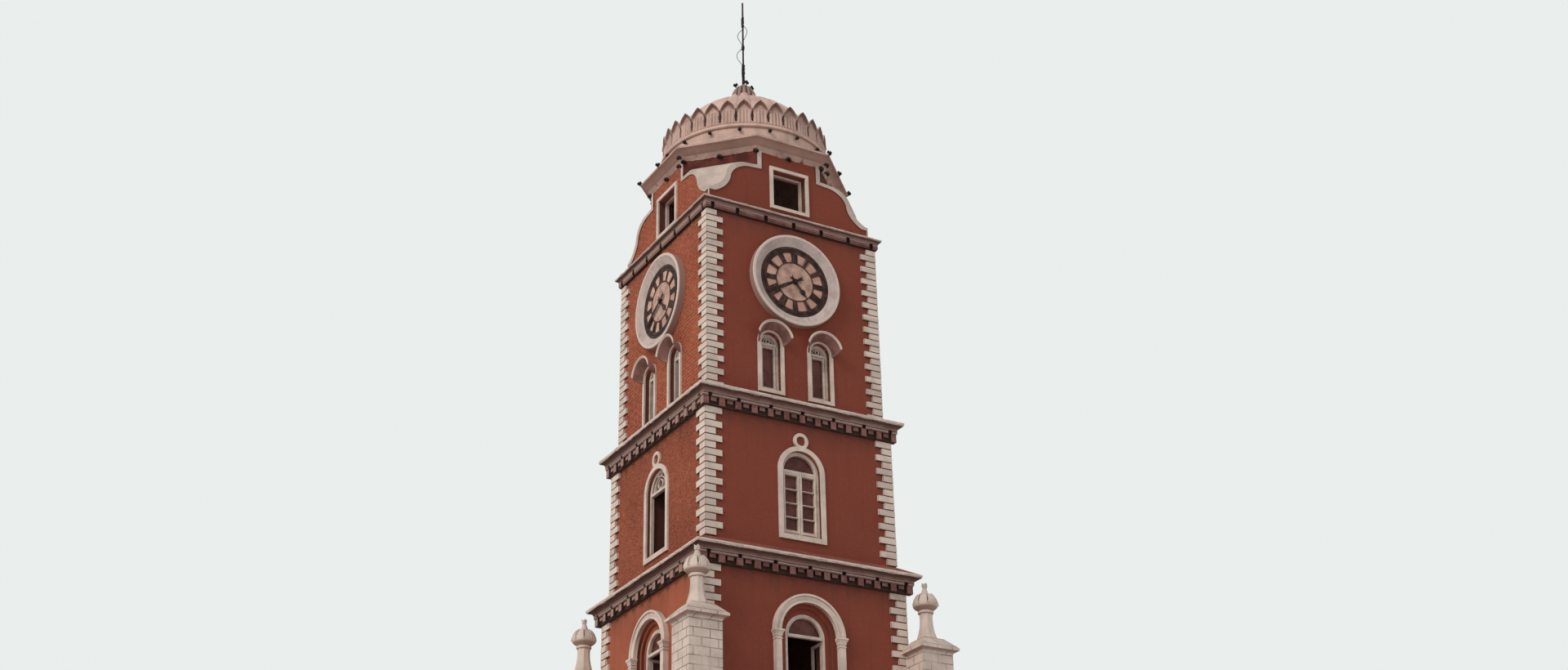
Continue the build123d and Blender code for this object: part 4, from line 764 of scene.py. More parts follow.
def petal_ring(s):
    """Upright petals round the dome's foot. A petal's outline is an arch that rises from the low point
    between two petals by (1 - |share| ^ 1.7) ^ 0.8 to a point, with its rim curled out. It has four round
    ribs, |sin(pi * share / 0.42)| across, that die out below the rim, and beside it a deep slit, widest in
    its middle. Behind the rim the ring steps down to a ledge and in to the dome."""
    share, angle = turns_of(PETALS, 30, s.phase)
    side = np.abs(share)
    head = s.shoulder + (s.arch - s.shoulder) * (1 - side ** 1.7) ** 0.8 + 0.026 * np.exp(-side / 0.12)
    across = share * pi * s.face / PETALS
    slope = np.abs(np.gradient(head, across[1] - across[0]))
    head, side = head[:, None], side[:, None]
    up = head * np.linspace(0, 1, 28)[None] ** 0.9 - 0.02 * np.linspace(1, 0, 28)[None]
    near = (head - up) / np.sqrt(1 + np.minimum(slope, 3.0)[:, None] ** 2)
    curl = s.curl * (1 - smooth(near, 0.0, 0.070)) ** 1.3
    face = s.face - 0.06 * up
    ribs = np.abs(np.sin(pi * share / 0.42))[:, None] ** 0.8
    ribs = ribs * smooth(up, 0.0, 0.05) * smooth(up, s.shoulder + 0.09 * ribs - 0.02, s.shoulder - 0.05)
    half = 0.15 * np.sin(pi * np.clip((up - 0.07) / (s.shoulder - 0.055), 0, 1)) ** 0.6
    slit = smooth(side, 1 - half, 1 - half + 0.035) * (half > 0.01)
    radius = face + s.rib * ribs + curl - s.slit_depth * slit
    spots = np.stack((radius * np.cos(angle[:, None]), radius * np.sin(angle[:, None]), up), axis=-1)
    radius = radius + 0.007 * unevenness(spots + 3.3, 0.10) * smooth(up, 0.0, 0.05)
    rim = face[:, -1:] + s.curl
    behind, inside = np.full_like(rim, s.face - 0.060), np.full_like(rim, 1.70)
    ledge, foot = np.full_like(rim, 0.16), np.full_like(rim, -0.02)
    radius = np.concatenate((radius, rim - 0.012, rim - 0.040, np.minimum(rim - 0.105, behind), behind,
                             inside, inside), axis=1)
    up = np.concatenate((up, head + 0.014, head + 0.012, head - 0.085, ledge, ledge, foot), axis=1)
    return turned(radius, DOME_FOOT + up, angle)


def collar(s):
    """Round lobes that stand about the cup's foot on the crown: a lobe's top rises with
    (1 - |share| ^ 2.6) ^ 0.55."""
    lobes = 8
    share, angle = turns_of(lobes, 20, radians(-4))
    bulge = (1 - share ** 2)[:, None]
    foot = s.centre + s.flat * s.radius - 0.11
    head = (foot + 0.12 + 0.225 * (1 - np.abs(share) ** 2.6) ** 0.55)[:, None]
    along = np.linspace(0, 1, 7)[None]
    radius = 0.345 + 0.055 * bulge * np.sin(pi * (0.25 + 0.65 * along)) + 0.06 * (1 - along) ** 2
    height = foot + (head - foot) * along
    radius = np.concatenate((radius, radius[:, -1:] - 0.045, np.full((len(share), 1), 0.26)), axis=1)
    height = np.concatenate((height, height[:, -1:] - 0.010, np.full((len(share), 1), foot)), axis=1)
    return turned(radius, height, angle)


def ribbed_cup(s):
    """Cup of round ribs that leans in to its rounded head, with the mast's socket in its middle."""
    share, angle = turns_of(s.cup_ribs, 12)
    profile = np.array([(0.0, -0.72), (0.305, -0.72), (0.306, -0.43), (0.292, -0.32), (0.262, -0.240),
                        (0.226, -0.175), (0.186, -0.124), (0.142, -0.092), (0.098, -0.082), (0.056, -0.094),
                        (0.040, -0.050), (0.036, 0.002), (0.0, 0.002)])
    depth = smooth(profile[:, 0], 0.07, 0.20) * 0.20
    radius = profile[None, :, 0] * (1 - depth[None] * (np.abs(share) ** 2.2)[:, None])
    return turned(radius, CUP_TOP + profile[None, :, 1], angle)


class TOWER_OT_dome(Operator):
    """Gored dome, the ring of ribbed petals round its foot, and the cup and its collar on the crown"""
    bl_idname = "tower.dome"
    bl_label = "Dome and petals"

    def execute(self, context):
        s = context.scene.tower_dome
        shell = piece("gored_dome", [dome_shell(s)], "cream_plaster", "dome_plaster", sharp=50)
        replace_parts(shell, "dome")
        petals = piece("ribbed_petals", [petal_ring(s)], "cream_plaster", "petal_plaster", sharp=60)
        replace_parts(petals, "lotus_band")
        cup = piece("ribbed_cup", [ribbed_cup(s)], "cream_plaster", "cup_plaster", sharp=60)
        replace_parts(cup, "dome_finial")
        piece("crown_collar", [collar(s)], "cream_plaster", "dome_plaster", sharp=60)
        return {"FINISHED"}


# ---------------------------------------------------------------- mast and lamps

def wrapped(low, high, turns, reach, sway):
    """Wire wound tight about the mast from one height to another, `turns` times, with its distance swaying:
    its angle is 2 * pi * turns * share, a little uneven."""
    share = np.linspace(0, 1, int(20 * turns) + 2)
    angle = 2 * pi * turns * share + 0.5 * np.sin(11 * share)
    out = reach + sway * (0.5 + 0.5 * np.sin(29 * share + low))
    return np.stack((out * np.cos(angle), out * np.sin(angle), low + (high - low) * share), axis=-1)


def bowed(low, high, side, bulge, reach, peak):
    """Wire that stands off the mast in a bow: its distance is bulge * sin(pi * share ** power) to one side,
    most at the share `peak`."""
    share = np.linspace(0, 1, 25)
    power = np.log(0.5) / np.log(peak)
    out = reach + bulge * np.sin(pi * share ** power)
    path = out[:, None] * np.asarray(side)[None]
    return np.column_stack((path, low + (high - low) * share))


def knot(centre, size):
    """Lump of tape or wire ends: a ball whose radius is moved by the unevenness of the place."""
    down, turn = np.meshgrid(np.linspace(0.12, pi - 0.12, 9), np.linspace(0, 2 * pi, 12, endpoint=False),
                             indexing="ij")
    ball = np.stack((np.sin(down) * np.cos(turn), np.sin(down) * np.sin(turn), 1.25 * np.cos(down)), axis=-1)
    rough = 1 + 0.28 * unevenness(ball * 1.7 + centre * 5.0, 1.0)
    return skin(centre + size * ball * rough[..., None])


class TOWER_OT_mast(Operator):
    """Stiff wires tied to the mast: tight turns at its foot, slack bows in its middle and knots of tape"""
    bl_idname = "tower.mast"
    bl_label = "Mast wire"

    def execute(self, context):
        s = context.scene.tower_mast
        low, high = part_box("mast")
        reach = high.x + 0.6 * s.wire
        rise = high.z - low.z
        right = np.array([0.863, -0.506])
        skins = []
        for start, end, turns, sway in ((0.005, 0.115, 4.5, 0.005), (0.105, 0.245, 5.5, 0.012),
                                        (0.425, 0.470, 3.0, 0.006), (0.700, 0.820, 4.0, 0.006)):
            path = wrapped(low.z + start * rise, low.z + end * rise, turns, reach, sway)
            skins.append(tube(path, s.wire, 6))
            skins.append(tube(about_axis(path, 2.1), 0.8 * s.wire, 6))
        for start, end, side, bulge, peak in ((0.240, 0.440, -right, s.bow, 0.55),
                                              (0.480, 0.665, -right, 0.8 * s.bow, 0.6),
                                              (0.545, 0.715, right, 0.6 * s.bow, 0.6)):
            path = bowed(low.z + start * rise, low.z + end * rise, side, bulge, reach, peak)
            skins.append(tube(path, 0.8 * s.wire, 6))
        for place, size in ((0.150, 0.034), (0.248, 0.020), (0.445, 0.026), (0.720, 0.018), (0.810, 0.024)):
            skins.append(knot(np.array([0.0, 0.0, low.z + place * rise]), size + high.x * 0.4))
        piece("mast_wire", skins, "mast_iron", sharp=60)
        return {"FINISHED"}


def globe(centre, size):
    """Small lamp: a globe drawn up into a short neck, turned about the upright through its centre."""
    profile = np.array([(0.10, -1.00), (0.62, -0.78), (0.98, -0.25), (0.95, 0.30), (0.62, 0.76), (0.34, 0.98),
                        (0.32, 1.30), (0.12, 1.36)])
    angle = np.linspace(0, 2 * pi, 10, endpoint=False)
    rows = np.stack((profile[:, :1] * np.cos(angle), profile[:, :1] * np.sin(angle),
                     np.broadcast_to(profile[:, 1:], (len(profile), len(angle)))), axis=-1)
    return skin(centre + size * rows)


def cluster(out, up, turn, s, hanging=False):
    """Three small lamps on a bent bracket, at a distance from the axis, a height and an angle."""
    spots = np.array([(0.55, 0.0, 0.0), (-0.35, 0.85, 0.0), (-0.25, -0.75, 0.35)]) * s.spread
    drop = -1.6 if hanging else 1.2
    skins = [globe(about_axis(spot + (out, 0.0, up + drop * s.bulb), turn), s.bulb) for spot in spots]
    bracket = np.array([(-0.10, 0.0, 0.0), (-0.03, 0.0, 0.02 if hanging else -0.02), (0.0, 0.0, 0.0),
                        (0.0, 0.0, 0.9 * drop * s.bulb)])
    path = about_axis(bracket + (out, 0.0, up), turn)
    skins.append(tube(path, 0.012, 6))
    return skins


class TOWER_OT_lamps(Operator):
    """Clusters of small black lamps along the eave, under its cove and round the cup"""
    bl_idname = "tower.lamps"
    bl_label = "Festoon lamps"

    def execute(self, context):
        s = context.scene.tower_lamps
        skins = []
        corner_out = 1 / cos(pi / 8)
        under = foot_of("eave")
        for index in range(16):
            turn = pi / 8 * (index + 1)
            stretch = corner_out if index % 2 == 0 else 1.0
            if index % 8 >= 4:
                skins += cluster((EAVE_HALF + 0.02) * stretch, EAVE_TOP - 0.02, turn, s)
            skins += cluster((ATTIC_HALF + 0.045) * stretch, under - 0.01, turn, s, hanging=True)
        for index in range(s.cup_lamps):
            turn = 2 * pi * index / s.cup_lamps + radians(80)
            skins += cluster(0.205, CUP_TOP - 0.10, turn, s)
        for index in range(4):
            turn = pi / 2 * index + 5 * pi / 8
            for height in (under + 0.02, under - 0.20):
                skins += cluster(EAVE_HALF * corner_out - 0.06, height, turn, s, hanging=True)
        piece("small_lamps", skins, "lamp_black", sharp=60)
        return {"FINISHED"}


# ---------------------------------------------------------------- finishes

class Finish:
    """Node tree of one finish, with short names for the nodes that every finish is mixed from."""

    def __init__(self, name):
        self.material = MADE[name] = bpy.data.materials.new(name)
        self.material.use_nodes = True
        self.tree = self.material.node_tree
        self.shader = self.tree.nodes["Principled BSDF"]
        coordinates = self.tree.nodes.new("ShaderNodeTexCoord")
        self.place = coordinates.outputs["Object"]
        self.normal = coordinates.outputs["Normal"]
        self.x, self.y, self.z = self.parts(self.place)
        self.nx, self.ny, self.nz = self.parts(self.normal)

    def fill(self, socket, value):
        """Link a socket or set its value."""
        if isinstance(value, bpy.types.NodeSocket):
            self.tree.links.new(value, socket)
        elif isinstance(value, (int, float)):
            socket.default_value = value
        elif len(value) == 3 and len(socket.default_value) == 4:
            socket.default_value = (*value, 1)
        else:
            socket.default_value = value

    def parts(self, vector):
        """The three numbers of a vector."""
        node = self.tree.nodes.new("ShaderNodeSeparateXYZ")
        self.fill(node.inputs[0], vector)
        return node.outputs[0], node.outputs[1], node.outputs[2]

    def vector(self, x, y, z):
        """A vector from three numbers."""
        node = self.tree.nodes.new("ShaderNodeCombineXYZ")
        for socket, value in zip(node.inputs, (x, y, z)):
            self.fill(socket, value)
        return node.outputs[0]

    def math(self, operation, a, b=0.0, c=0.0):
        node = self.tree.nodes.new("ShaderNodeMath")
        node.operation = operation
        for socket, value in zip(node.inputs, (a, b, c)):
            self.fill(socket, value)
        return node.outputs[0]

    def times(self, a, b):
        return self.math("MULTIPLY", a, b)

    def plus(self, a, b):
        return self.math("ADD", a, b)

    def minus(self, a, b):
        return self.math("SUBTRACT", a, b)

    def absolute(self, value):
        return self.math("ABSOLUTE", value)

    def hypotenuse(self, a, b):
        """Length of the line that reaches a one way and b square to it."""
        return self.math("SQRT", self.plus(self.times(a, a), self.times(b, b)))

    def rise(self, value, low, high):
        """0 below the low value, 1 above the high one and smooth between, or the other way when low is the
        larger."""
        node = self.tree.nodes.new("ShaderNodeMapRange")
        node.interpolation_type = "SMOOTHSTEP"
        turned = low > high
        for name, setting in (("Value", value), ("From Min", min(low, high)), ("From Max", max(low, high)),
                              ("To Min", 1.0 if turned else 0.0), ("To Max", 0.0 if turned else 1.0)):
            self.fill(node.inputs[name], setting)
        return node.outputs[0]

    def noise(self, scale, detail=3.0, where=None, roughness=0.55, warp=0.0):
        """Soft random pattern with `scale` blotches to the metre, round 0.5."""
        node = self.tree.nodes.new("ShaderNodeTexNoise")
        self.fill(node.inputs["Vector"], where or self.place)
        self.fill(node.inputs["Scale"], scale)
        self.fill(node.inputs["Detail"], detail)
        self.fill(node.inputs["Roughness"], roughness)
        self.fill(node.inputs["Distortion"], warp)
        return node.outputs[0]

    def streaks(self, across=5.0, down=0.35):
        """Noise drawn out down the face."""
        wide = self.vector(self.times(self.x, across), self.times(self.y, across),
                           self.times(self.z, down))
        return self.noise(1.0, 4.0, wide)

    def cells(self, scale, where=None):
        """Distance from the middles of random cells."""
        node = self.tree.nodes.new("ShaderNodeTexVoronoi")
        self.fill(node.inputs["Vector"], where or self.place)
        self.fill(node.inputs["Scale"], scale)
        return node.outputs["Distance"]

    def courses(self, joint, width, rise):
        """Running bond on upright faces, 1 in the joints, from the sum of x and y across and z up."""
        node = self.tree.nodes.new("ShaderNodeTexBrick")
        node.offset = 0.5
        flat = self.vector(self.plus(self.x, self.y), self.z, 0.0)
        self.fill(node.inputs["Vector"], flat)
        for name, value in (("Scale", 1.0), ("Mortar Size", joint), ("Mortar Smooth", 0.6), ("Bias", 0.0),
                            ("Brick Width", width), ("Row Height", rise)):
            self.fill(node.inputs[name], value)
        return node.outputs["Fac"]

    def blend(self, share, a, b):
        """Colour a where the share is 0 and colour b where it is 1."""
        node = self.tree.nodes.new("ShaderNodeMix")
        node.data_type = "RGBA"
        self.fill(node.inputs["Factor"], share)
        for index, value in ((6, a), (7, b)):
            self.fill(node.inputs[index], value)
        return node.outputs[2]

    def relief(self, height, distance, under=None):
        """Bump by a height, over another bump where one is given."""
        node = self.tree.nodes.new("ShaderNodeBump")
        self.fill(node.inputs["Height"], height)
        self.fill(node.inputs["Distance"], distance)
        self.fill(node.inputs["Strength"], 1.0)
        if under is not None:
            self.fill(node.inputs["Normal"], under)
        return node.outputs[0]

    def farthest(self):
        """Distance out from the axis, square to the nearest face."""
        return self.math("MAXIMUM", self.absolute(self.x), self.absolute(self.y))

    def done(self, colour, roughness, normal, shine=0.2):
        """The finished material, with its colour, roughness, relief and shine."""
        self.fill(self.shader.inputs["Base Color"], colour)
        self.fill(self.shader.inputs["Specular IOR Level"], shine)
        self.fill(self.shader.inputs["Roughness"], roughness)
        self.fill(self.shader.inputs["Normal"], normal)
        return self.material


def tinted(colour, amount):
    """Colour made lighter or darker by a factor."""
    return tuple(min(1.0, channel * amount) for channel in colour)


def limewash(name, s):
    """Red limewash: painted lighter on the sunny left face as painted light, and coarse there, with brick
    courses showing high up and lumpy render below them, painted with highlights on their raised parts and
    shade in their hollows; smooth on the other faces; streaked, and darker just under each cornice, partly
    streaks and partly painted shade. The sides of the window openings, which face along the wall, are painted
    darker as shade."""
    f = Finish(name)
    sunny = f.rise(f.nx, -0.4, -0.8)
    patches = f.noise(0.8, 4.0)
    fine = f.noise(14.0, 5.0, roughness=0.65)
    streak = f.streaks(6.0, 0.4)
    # Painted light: the sunny left face takes the lighter sunlit copy of the limewash
    colour = f.blend(sunny, s.limewash, s.sunlit_limewash)
    colour = f.blend(f.times(f.rise(patches, 0.42, 0.68), 0.40), colour, tinted(s.limewash, 0.80))
    colour = f.blend(f.times(f.rise(streak, 0.52, 0.78), 0.28), colour, tinted(s.limewash, 0.62))
    colour = f.blend(f.times(f.rise(fine, 0.50, 0.78), 0.22), colour, tinted(s.sunlit_limewash, 1.10))
    faded = f.times(f.rise(f.noise(2.6, 5.0, roughness=0.7), 0.56, 0.74), sunny)
    colour = f.blend(f.times(faded, 0.40), colour, (0.47, 0.19, 0.11))
    # Darker, streaked band just under each cornice: partly rain streaks, partly painted shade
    for _, top, height in CORNICES:
        foot = top - height
        reach = f.times(f.rise(f.z, foot - 0.55, foot), f.rise(f.z, top + 0.1, top))
        reach = f.times(reach, f.rise(streak, 0.30, 0.62))
        colour = f.blend(f.times(reach, 0.34), colour, tinted(s.grime_and_shade, 1.2))
    joints = f.courses(0.009, s.brick_width, s.brick_rise)
    high = f.rise(f.z, SECOND_TOP - 0.01, SECOND_TOP + 0.01)
    rough_coat = f.times(sunny, f.minus(1.0, high))
    rough_coat = f.times(rough_coat, f.rise(f.z, FIRST_TOP - 0.2, FIRST_TOP + 0.2))
    bricks = f.times(f.times(joints, high), sunny)
    bricks = f.times(bricks, f.rise(f.noise(1.3, 3.0), 0.34, 0.52))
    colour = f.blend(f.times(bricks, 0.60), colour, tinted(s.limewash, 0.45))
    squat = f.vector(f.x, f.times(f.y, 1.3), f.times(f.z, 1.7))
    lumps = f.noise(10.0, 3.0, squat, 0.6, 1.4)
    # Painted highlight on the render's raised lumps, and painted shade in its hollows
    lump_highlight = f.times(f.rise(lumps, 0.50, 0.60), rough_coat)
    shade = f.times(f.rise(lumps, 0.45, 0.37), rough_coat)
    colour = f.blend(f.times(lump_highlight, 0.34), colour, tinted(s.sunlit_limewash, 1.45))
    colour = f.blend(f.times(shade, 0.42), colour, tinted(s.limewash, 0.60))
    pits = f.cells(13.0)
    # Painted highlight on the raised parts of the bricks' rough faces, high on the sunny face
    pit_highlight = f.times(f.times(f.rise(pits, 0.42, 0.62), sunny), high)
    colour = f.blend(f.times(pit_highlight, 0.35), colour, tinted(s.sunlit_limewash, 1.40))
    # Painted shade on the sides of the window openings, which face along the wall
    sideways = f.math("MAXIMUM", f.absolute(f.nx), f.absolute(f.ny))
    facing = f.plus(f.times(f.nx, f.x), f.times(f.ny, f.y))
    reveal_shade = f.times(f.rise(facing, 1.45, 1.25), f.rise(sideways, 0.7, 0.9))
    colour = f.blend(f.times(reveal_shade, 0.70), colour, tinted(s.grime_and_shade, 0.9))
    coarse = f.relief(f.times(lumps, rough_coat), 0.070)
    coursed = f.relief(f.minus(1.0, bricks), 0.014, coarse)
    brick_faces = f.relief(f.times(f.times(pits, sunny), high), 0.026, coursed)
    faint = f.relief(f.minus(1.0, joints), 0.0014, brick_faces)
    return f.done(colour, 0.88, f.relief(fine, 0.0025, faint), 0.12)


def weathered_white(name, s, tone=1.0, soiled=0.5, coursed=False):
    """Aged white paint: warm blotches, rain streaks, chips down to pink-brown plaster, dirty tops, and
    undersides painted darker and redder as shade lit by a reddish bounce."""
    f = Finish(name)
    fine = f.noise(22.0, 6.0, roughness=0.68)
    blotch = f.noise(2.3, 5.0, roughness=0.6)
    streak = f.streaks(7.0, 0.6)
    colour = f.blend(f.rise(blotch, 0.35, 0.70), tinted(s.white, 1.10 * tone), tinted(s.white, 0.84 * tone))
    colour = f.blend(f.times(f.rise(streak, 0.50, 0.80), 0.6 * soiled), colour, (0.36, 0.235, 0.185))
    colour = f.blend(f.times(f.rise(fine, 0.60, 0.72), 0.55 * soiled), colour, s.bare_and_shade)
    # Painted shade on undersides, with a painted reddish bounce of light
    colour = f.blend(f.times(f.rise(f.nz, -0.35, -0.85), 0.72), colour, tinted(s.bare_and_shade, 1.05))
    colour = f.blend(f.times(f.rise(f.nz, 0.55, 0.95), 0.50), colour, (0.33, 0.25, 0.205))
    under = f.relief(fine, 0.0035)
    if coursed:
        joints = f.courses(0.010, s.block_width, s.block_rise)
        shown = f.times(joints, f.rise(f.noise(1.7, 4.0), 0.36, 0.56))
        colour = f.blend(f.times(shown, 0.75), colour, tinted(s.bare_and_shade, 0.55))
        under = f.relief(f.minus(1.0, joints), 0.008, under)
    return f.done(colour, 0.80, f.relief(blotch, 0.006, under))


def cornice_plaster(name, s, wall, cornice, repeat, slope):
    """Cornice: broken white nose; a cove painted pink-brown and purplish brown as shade, darker as painted
    shade where it faces down and on the sunny left face, where the sun doesn't reach it; long blocks in the
    same painted shade, with a painted highlight on their lower edge; pinkish dentils, painted lighter as lit
    on the sunny left face, on a bed painted dark as shade; undersides painted darker as shade; and a slope of
    its own colour. Share 0 to 1 runs from the underside to the nose's top, and depth 0 to 1 from the wall to
    the nose. Heights are taken again every `repeat`, for cornices over each other."""
    tip, top, height = cornice
    f = Finish(name)
    share = f.math("DIVIDE", f.math("WRAP", f.minus(f.z, top - height), repeat, -0.5), height)
    depth = f.math("DIVIDE", f.minus(f.farthest(), wall), tip - wall)
    fine = f.noise(20.0, 6.0, roughness=0.68)
    blotch = f.noise(3.2, 5.0, roughness=0.65)
    sunny = f.rise(f.minus(f.times(f.x, -1.0), f.absolute(f.y)), -0.02, 0.02)
    pale = tinted(s.white, 0.92)
    # Purplish brown of the white cove as it looks in shade, a painted shade colour
    mauve_shade = (0.235, 0.105, 0.085)
    cove = f.blend(f.rise(blotch, 0.36, 0.66), (0.34, 0.195, 0.165), mauve_shade)
    # Painted shade: the cove darker where it faces down, and darker still on the sunny left face, where the
    # sun doesn't reach it
    cove = f.blend(f.times(f.rise(f.nz, -0.15, -0.75), 0.65), cove, tinted(mauve_shade, 0.45))
    cove = f.blend(f.times(sunny, 0.62), cove, (0.105, 0.045, 0.030))
    # Blocks in the cove's painted shade colour, with a painted highlight on their lower edge
    block = f.blend(f.rise(fine, 0.42, 0.64), tinted(mauve_shade, 0.85), tinted(mauve_shade, 0.55))
    ragged = f.plus(share, f.times(f.minus(fine, 0.5), 0.10))
    edge = f.rise(f.absolute(f.minus(ragged, 0.475)), 0.050, 0.026)
    block = f.blend(f.times(edge, 0.80), block, tinted(s.white, 0.74))
    brow = f.rise(f.absolute(f.minus(ragged, 0.605)), 0.030, 0.012)
    block = f.blend(f.times(brow, 0.70), block, tinted(s.white, 0.66))
    tooth = f.blend(f.rise(blotch, 0.40, 0.62), (0.27, 0.125, 0.110), (0.18, 0.070, 0.060))
    # Painted light: dentils lighter on the sunny left face
    tooth = f.blend(f.times(sunny, 0.70), tooth, (0.42, 0.265, 0.205))
    # Bed between the dentils and notches between the blocks, painted dark as shade
    bed = f.blend(f.rise(fine, 0.40, 0.66), tinted(s.grime_and_shade, 0.55), tinted(s.grime_and_shade, 0.85))
    toward = f.plus(f.times(f.nx, f.x), f.times(f.ny, f.y))
    shown = f.times(f.rise(depth, 0.34, 0.38), f.rise(toward, 1.0, 1.4))
    under = f.blend(shown, bed, tooth)
    colour = f.blend(f.rise(share, 0.395, 0.405), under, block)
    colour = f.blend(f.times(f.rise(depth, 0.50, 0.46), f.rise(share, 0.62, 0.60)), colour, under)
    colour = f.blend(f.rise(share, 0.61, 0.63), colour, cove)
    nose = f.rise(f.plus(share, f.times(f.minus(blotch, 0.5), 0.16)), 0.82, 0.86)
    colour = f.blend(nose, colour, f.blend(f.times(f.rise(fine, 0.54, 0.68), 0.75), pale, s.bare_and_shade))
    above = f.rise(share, 1.01, 1.06)
    colour = f.blend(above, colour, f.blend(f.rise(blotch, 0.4, 0.62), slope, tinted(slope, 0.7)))
    # Painted shade on the cornice's undersides
    colour = f.blend(f.times(f.rise(f.nz, -0.6, -0.95), 0.60), colour, tinted(s.grime_and_shade, 0.7))
    return f.done(colour, 0.85, f.relief(fine, 0.006, f.relief(blotch, 0.014)), 0.12)


def scooped_plaster(name, s):
    """Pinkish plaster of the hoods, stained, with painted shade in their hollows where they face down, and a
    white rim.
    """
    f = Finish(name)
    stain = f.noise(3.0, 5.0, roughness=0.6)
    fine = f.noise(26.0, 5.0)
    colour = f.blend(f.rise(stain, 0.35, 0.68), (0.47, 0.31, 0.265), (0.36, 0.215, 0.175))
    # Painted shade inside the hood, where it faces down
    hollow = f.blend(f.rise(stain, 0.40, 0.62), (0.285, 0.135, 0.110), (0.19, 0.080, 0.062))
    colour = f.blend(f.rise(f.nz, 0.10, -0.10), colour, hollow)
    rim = f.rise(f.farthest(), CLOCK_HALF + 0.246, CLOCK_HALF + 0.256)
    colour = f.blend(rim, colour, s.white)
    return f.done(colour, 0.78, f.relief(fine, 0.002))


def bezel_paint(name, s):
    """Dial's deep frame: white rim and greyish pink hollow with stains that run down from its rim."""
    f = Finish(name)
    out = f.farthest()
    across = f.math("MINIMUM", f.absolute(f.x), f.absolute(f.y))
    up = f.minus(f.z, DIAL_HEIGHT)
    radius = f.hypotenuse(across, up)
    stain = f.noise(2.6, 5.0, roughness=0.65)
    streak = f.streaks(9.0, 0.9)
    fine = f.noise(24.0, 5.0)
    hollow = f.blend(f.rise(stain, 0.36, 0.66), (0.58, 0.455, 0.405), (0.45, 0.335, 0.30))
    hollow = f.blend(f.times(f.rise(streak, 0.52, 0.74), 0.55), hollow, (0.30, 0.205, 0.17))
    white = f.blend(f.times(f.rise(fine, 0.58, 0.72), 0.5), s.white, s.bare_and_shade)
    colour = f.blend(f.rise(radius, 1.016, 1.024), hollow, white)
    side = f.times(f.rise(radius, 1.076, 1.082), f.rise(out, CLOCK_HALF + 0.16, CLOCK_HALF + 0.13))
    colour = f.blend(side, colour, (0.36, 0.215, 0.175))
    return f.done(colour, 0.70, f.relief(fine, 0.002, f.relief(stain, 0.004)))


def lime_plaster(name, s, tone, ribbed=False, petals=False, streaked=0.5, cup=0, under=0.9):
    """Pinkish plaster of the upper parts: mottled, streaked down, dark in the lines between the dome's gores,
    and with painted shade in the petals' slits, between their ribs, under their curled rims and on the
    concave faces beneath them, or between the cup's ribs. The undersides are painted darker as shade, in the
    pink-brown plaster colour times `under`."""
    f = Finish(name)
    fine = f.noise(18.0, 6.0, roughness=0.66)
    blotch = f.noise(1.9, 5.0, roughness=0.62)
    streak = f.streaks(5.5, 0.7)
    colour = f.blend(f.rise(blotch, 0.34, 0.68), tinted(s.cream, 1.16 * tone), tinted(s.cream, 0.84 * tone))
    colour = f.blend(f.times(f.rise(streak, 0.50, 0.76), streaked), colour, tinted(s.cream, 0.48 * tone))
    colour = f.blend(f.times(f.rise(fine, 0.58, 0.74), 0.4), colour, s.bare_and_shade)
    radius = f.hypotenuse(f.x, f.y)
    turn = f.math("DIVIDE", f.plus(f.math("ARCTAN2", f.y, f.x), -PETAL_PHASE), 2 * pi / PETALS)
    off = f.minus(0.5, f.absolute(f.minus(f.math("FRACT", turn), 0.5)))
    off = f.times(f.times(off, 2 * pi / PETALS), radius)
    if ribbed:
        line = f.times(f.rise(off, 0.022, 0.006), f.rise(radius, 0.45, 0.75))
        colour = f.blend(f.times(line, 0.22), colour, tinted(s.bare_and_shade, 0.8))
    if petals:
        up = f.minus(f.z, DOME_FOOT)
        face = f.minus(1.925, f.times(up, 0.06))
        # Painted shade in the grooves between the petals' ribs and, darkest, in the slits between petals
        behind = f.times(f.minus(face, radius), f.rise(up, 0.44, 0.38))
        colour = f.blend(f.times(f.rise(behind, 0.008, 0.030), 0.62), colour, tinted(s.bare_and_shade, 0.62))
        colour = f.blend(f.times(f.rise(behind, 0.045, 0.085), 0.96), colour, tinted(s.grime_and_shade, 0.6))
        # Painted shade under the petals' curled rims
        below = f.times(f.rise(f.nz, -0.05, -0.45), f.rise(up, 0.34, 0.42))
        colour = f.blend(f.times(below, 0.85), colour, tinted(s.grime_and_shade, 1.5))
        # Painted shade on the concave faces beneath the rims
        hollow = f.times(f.rise(up, 0.36, 0.46), f.rise(f.nz, 0.10, 0.0))
        colour = f.blend(f.times(hollow, 0.45), colour, tinted(s.bare_and_shade, 0.9))
        colour = f.blend(f.times(f.rise(up, 0.08, 0.0), 0.45), colour, s.bare_and_shade)
    if cup:
        turn = f.math("FRACT", f.math("DIVIDE", f.math("ARCTAN2", f.y, f.x), 2 * pi / cup))
        between = f.absolute(f.minus(turn, 0.5))
        # Painted shade in the flutes between the cup's ribs
        colour = f.blend(f.times(f.rise(between, 0.26, 0.46), 0.85), colour, tinted(s.grime_and_shade, 1.1))
    # Painted shade on the undersides
    colour = f.blend(f.times(f.rise(f.nz, -0.3, -0.8), 0.5), colour, tinted(s.bare_and_shade, under))
    return f.done(colour, 0.82, f.relief(fine, 0.003, f.relief(blotch, 0.006)))


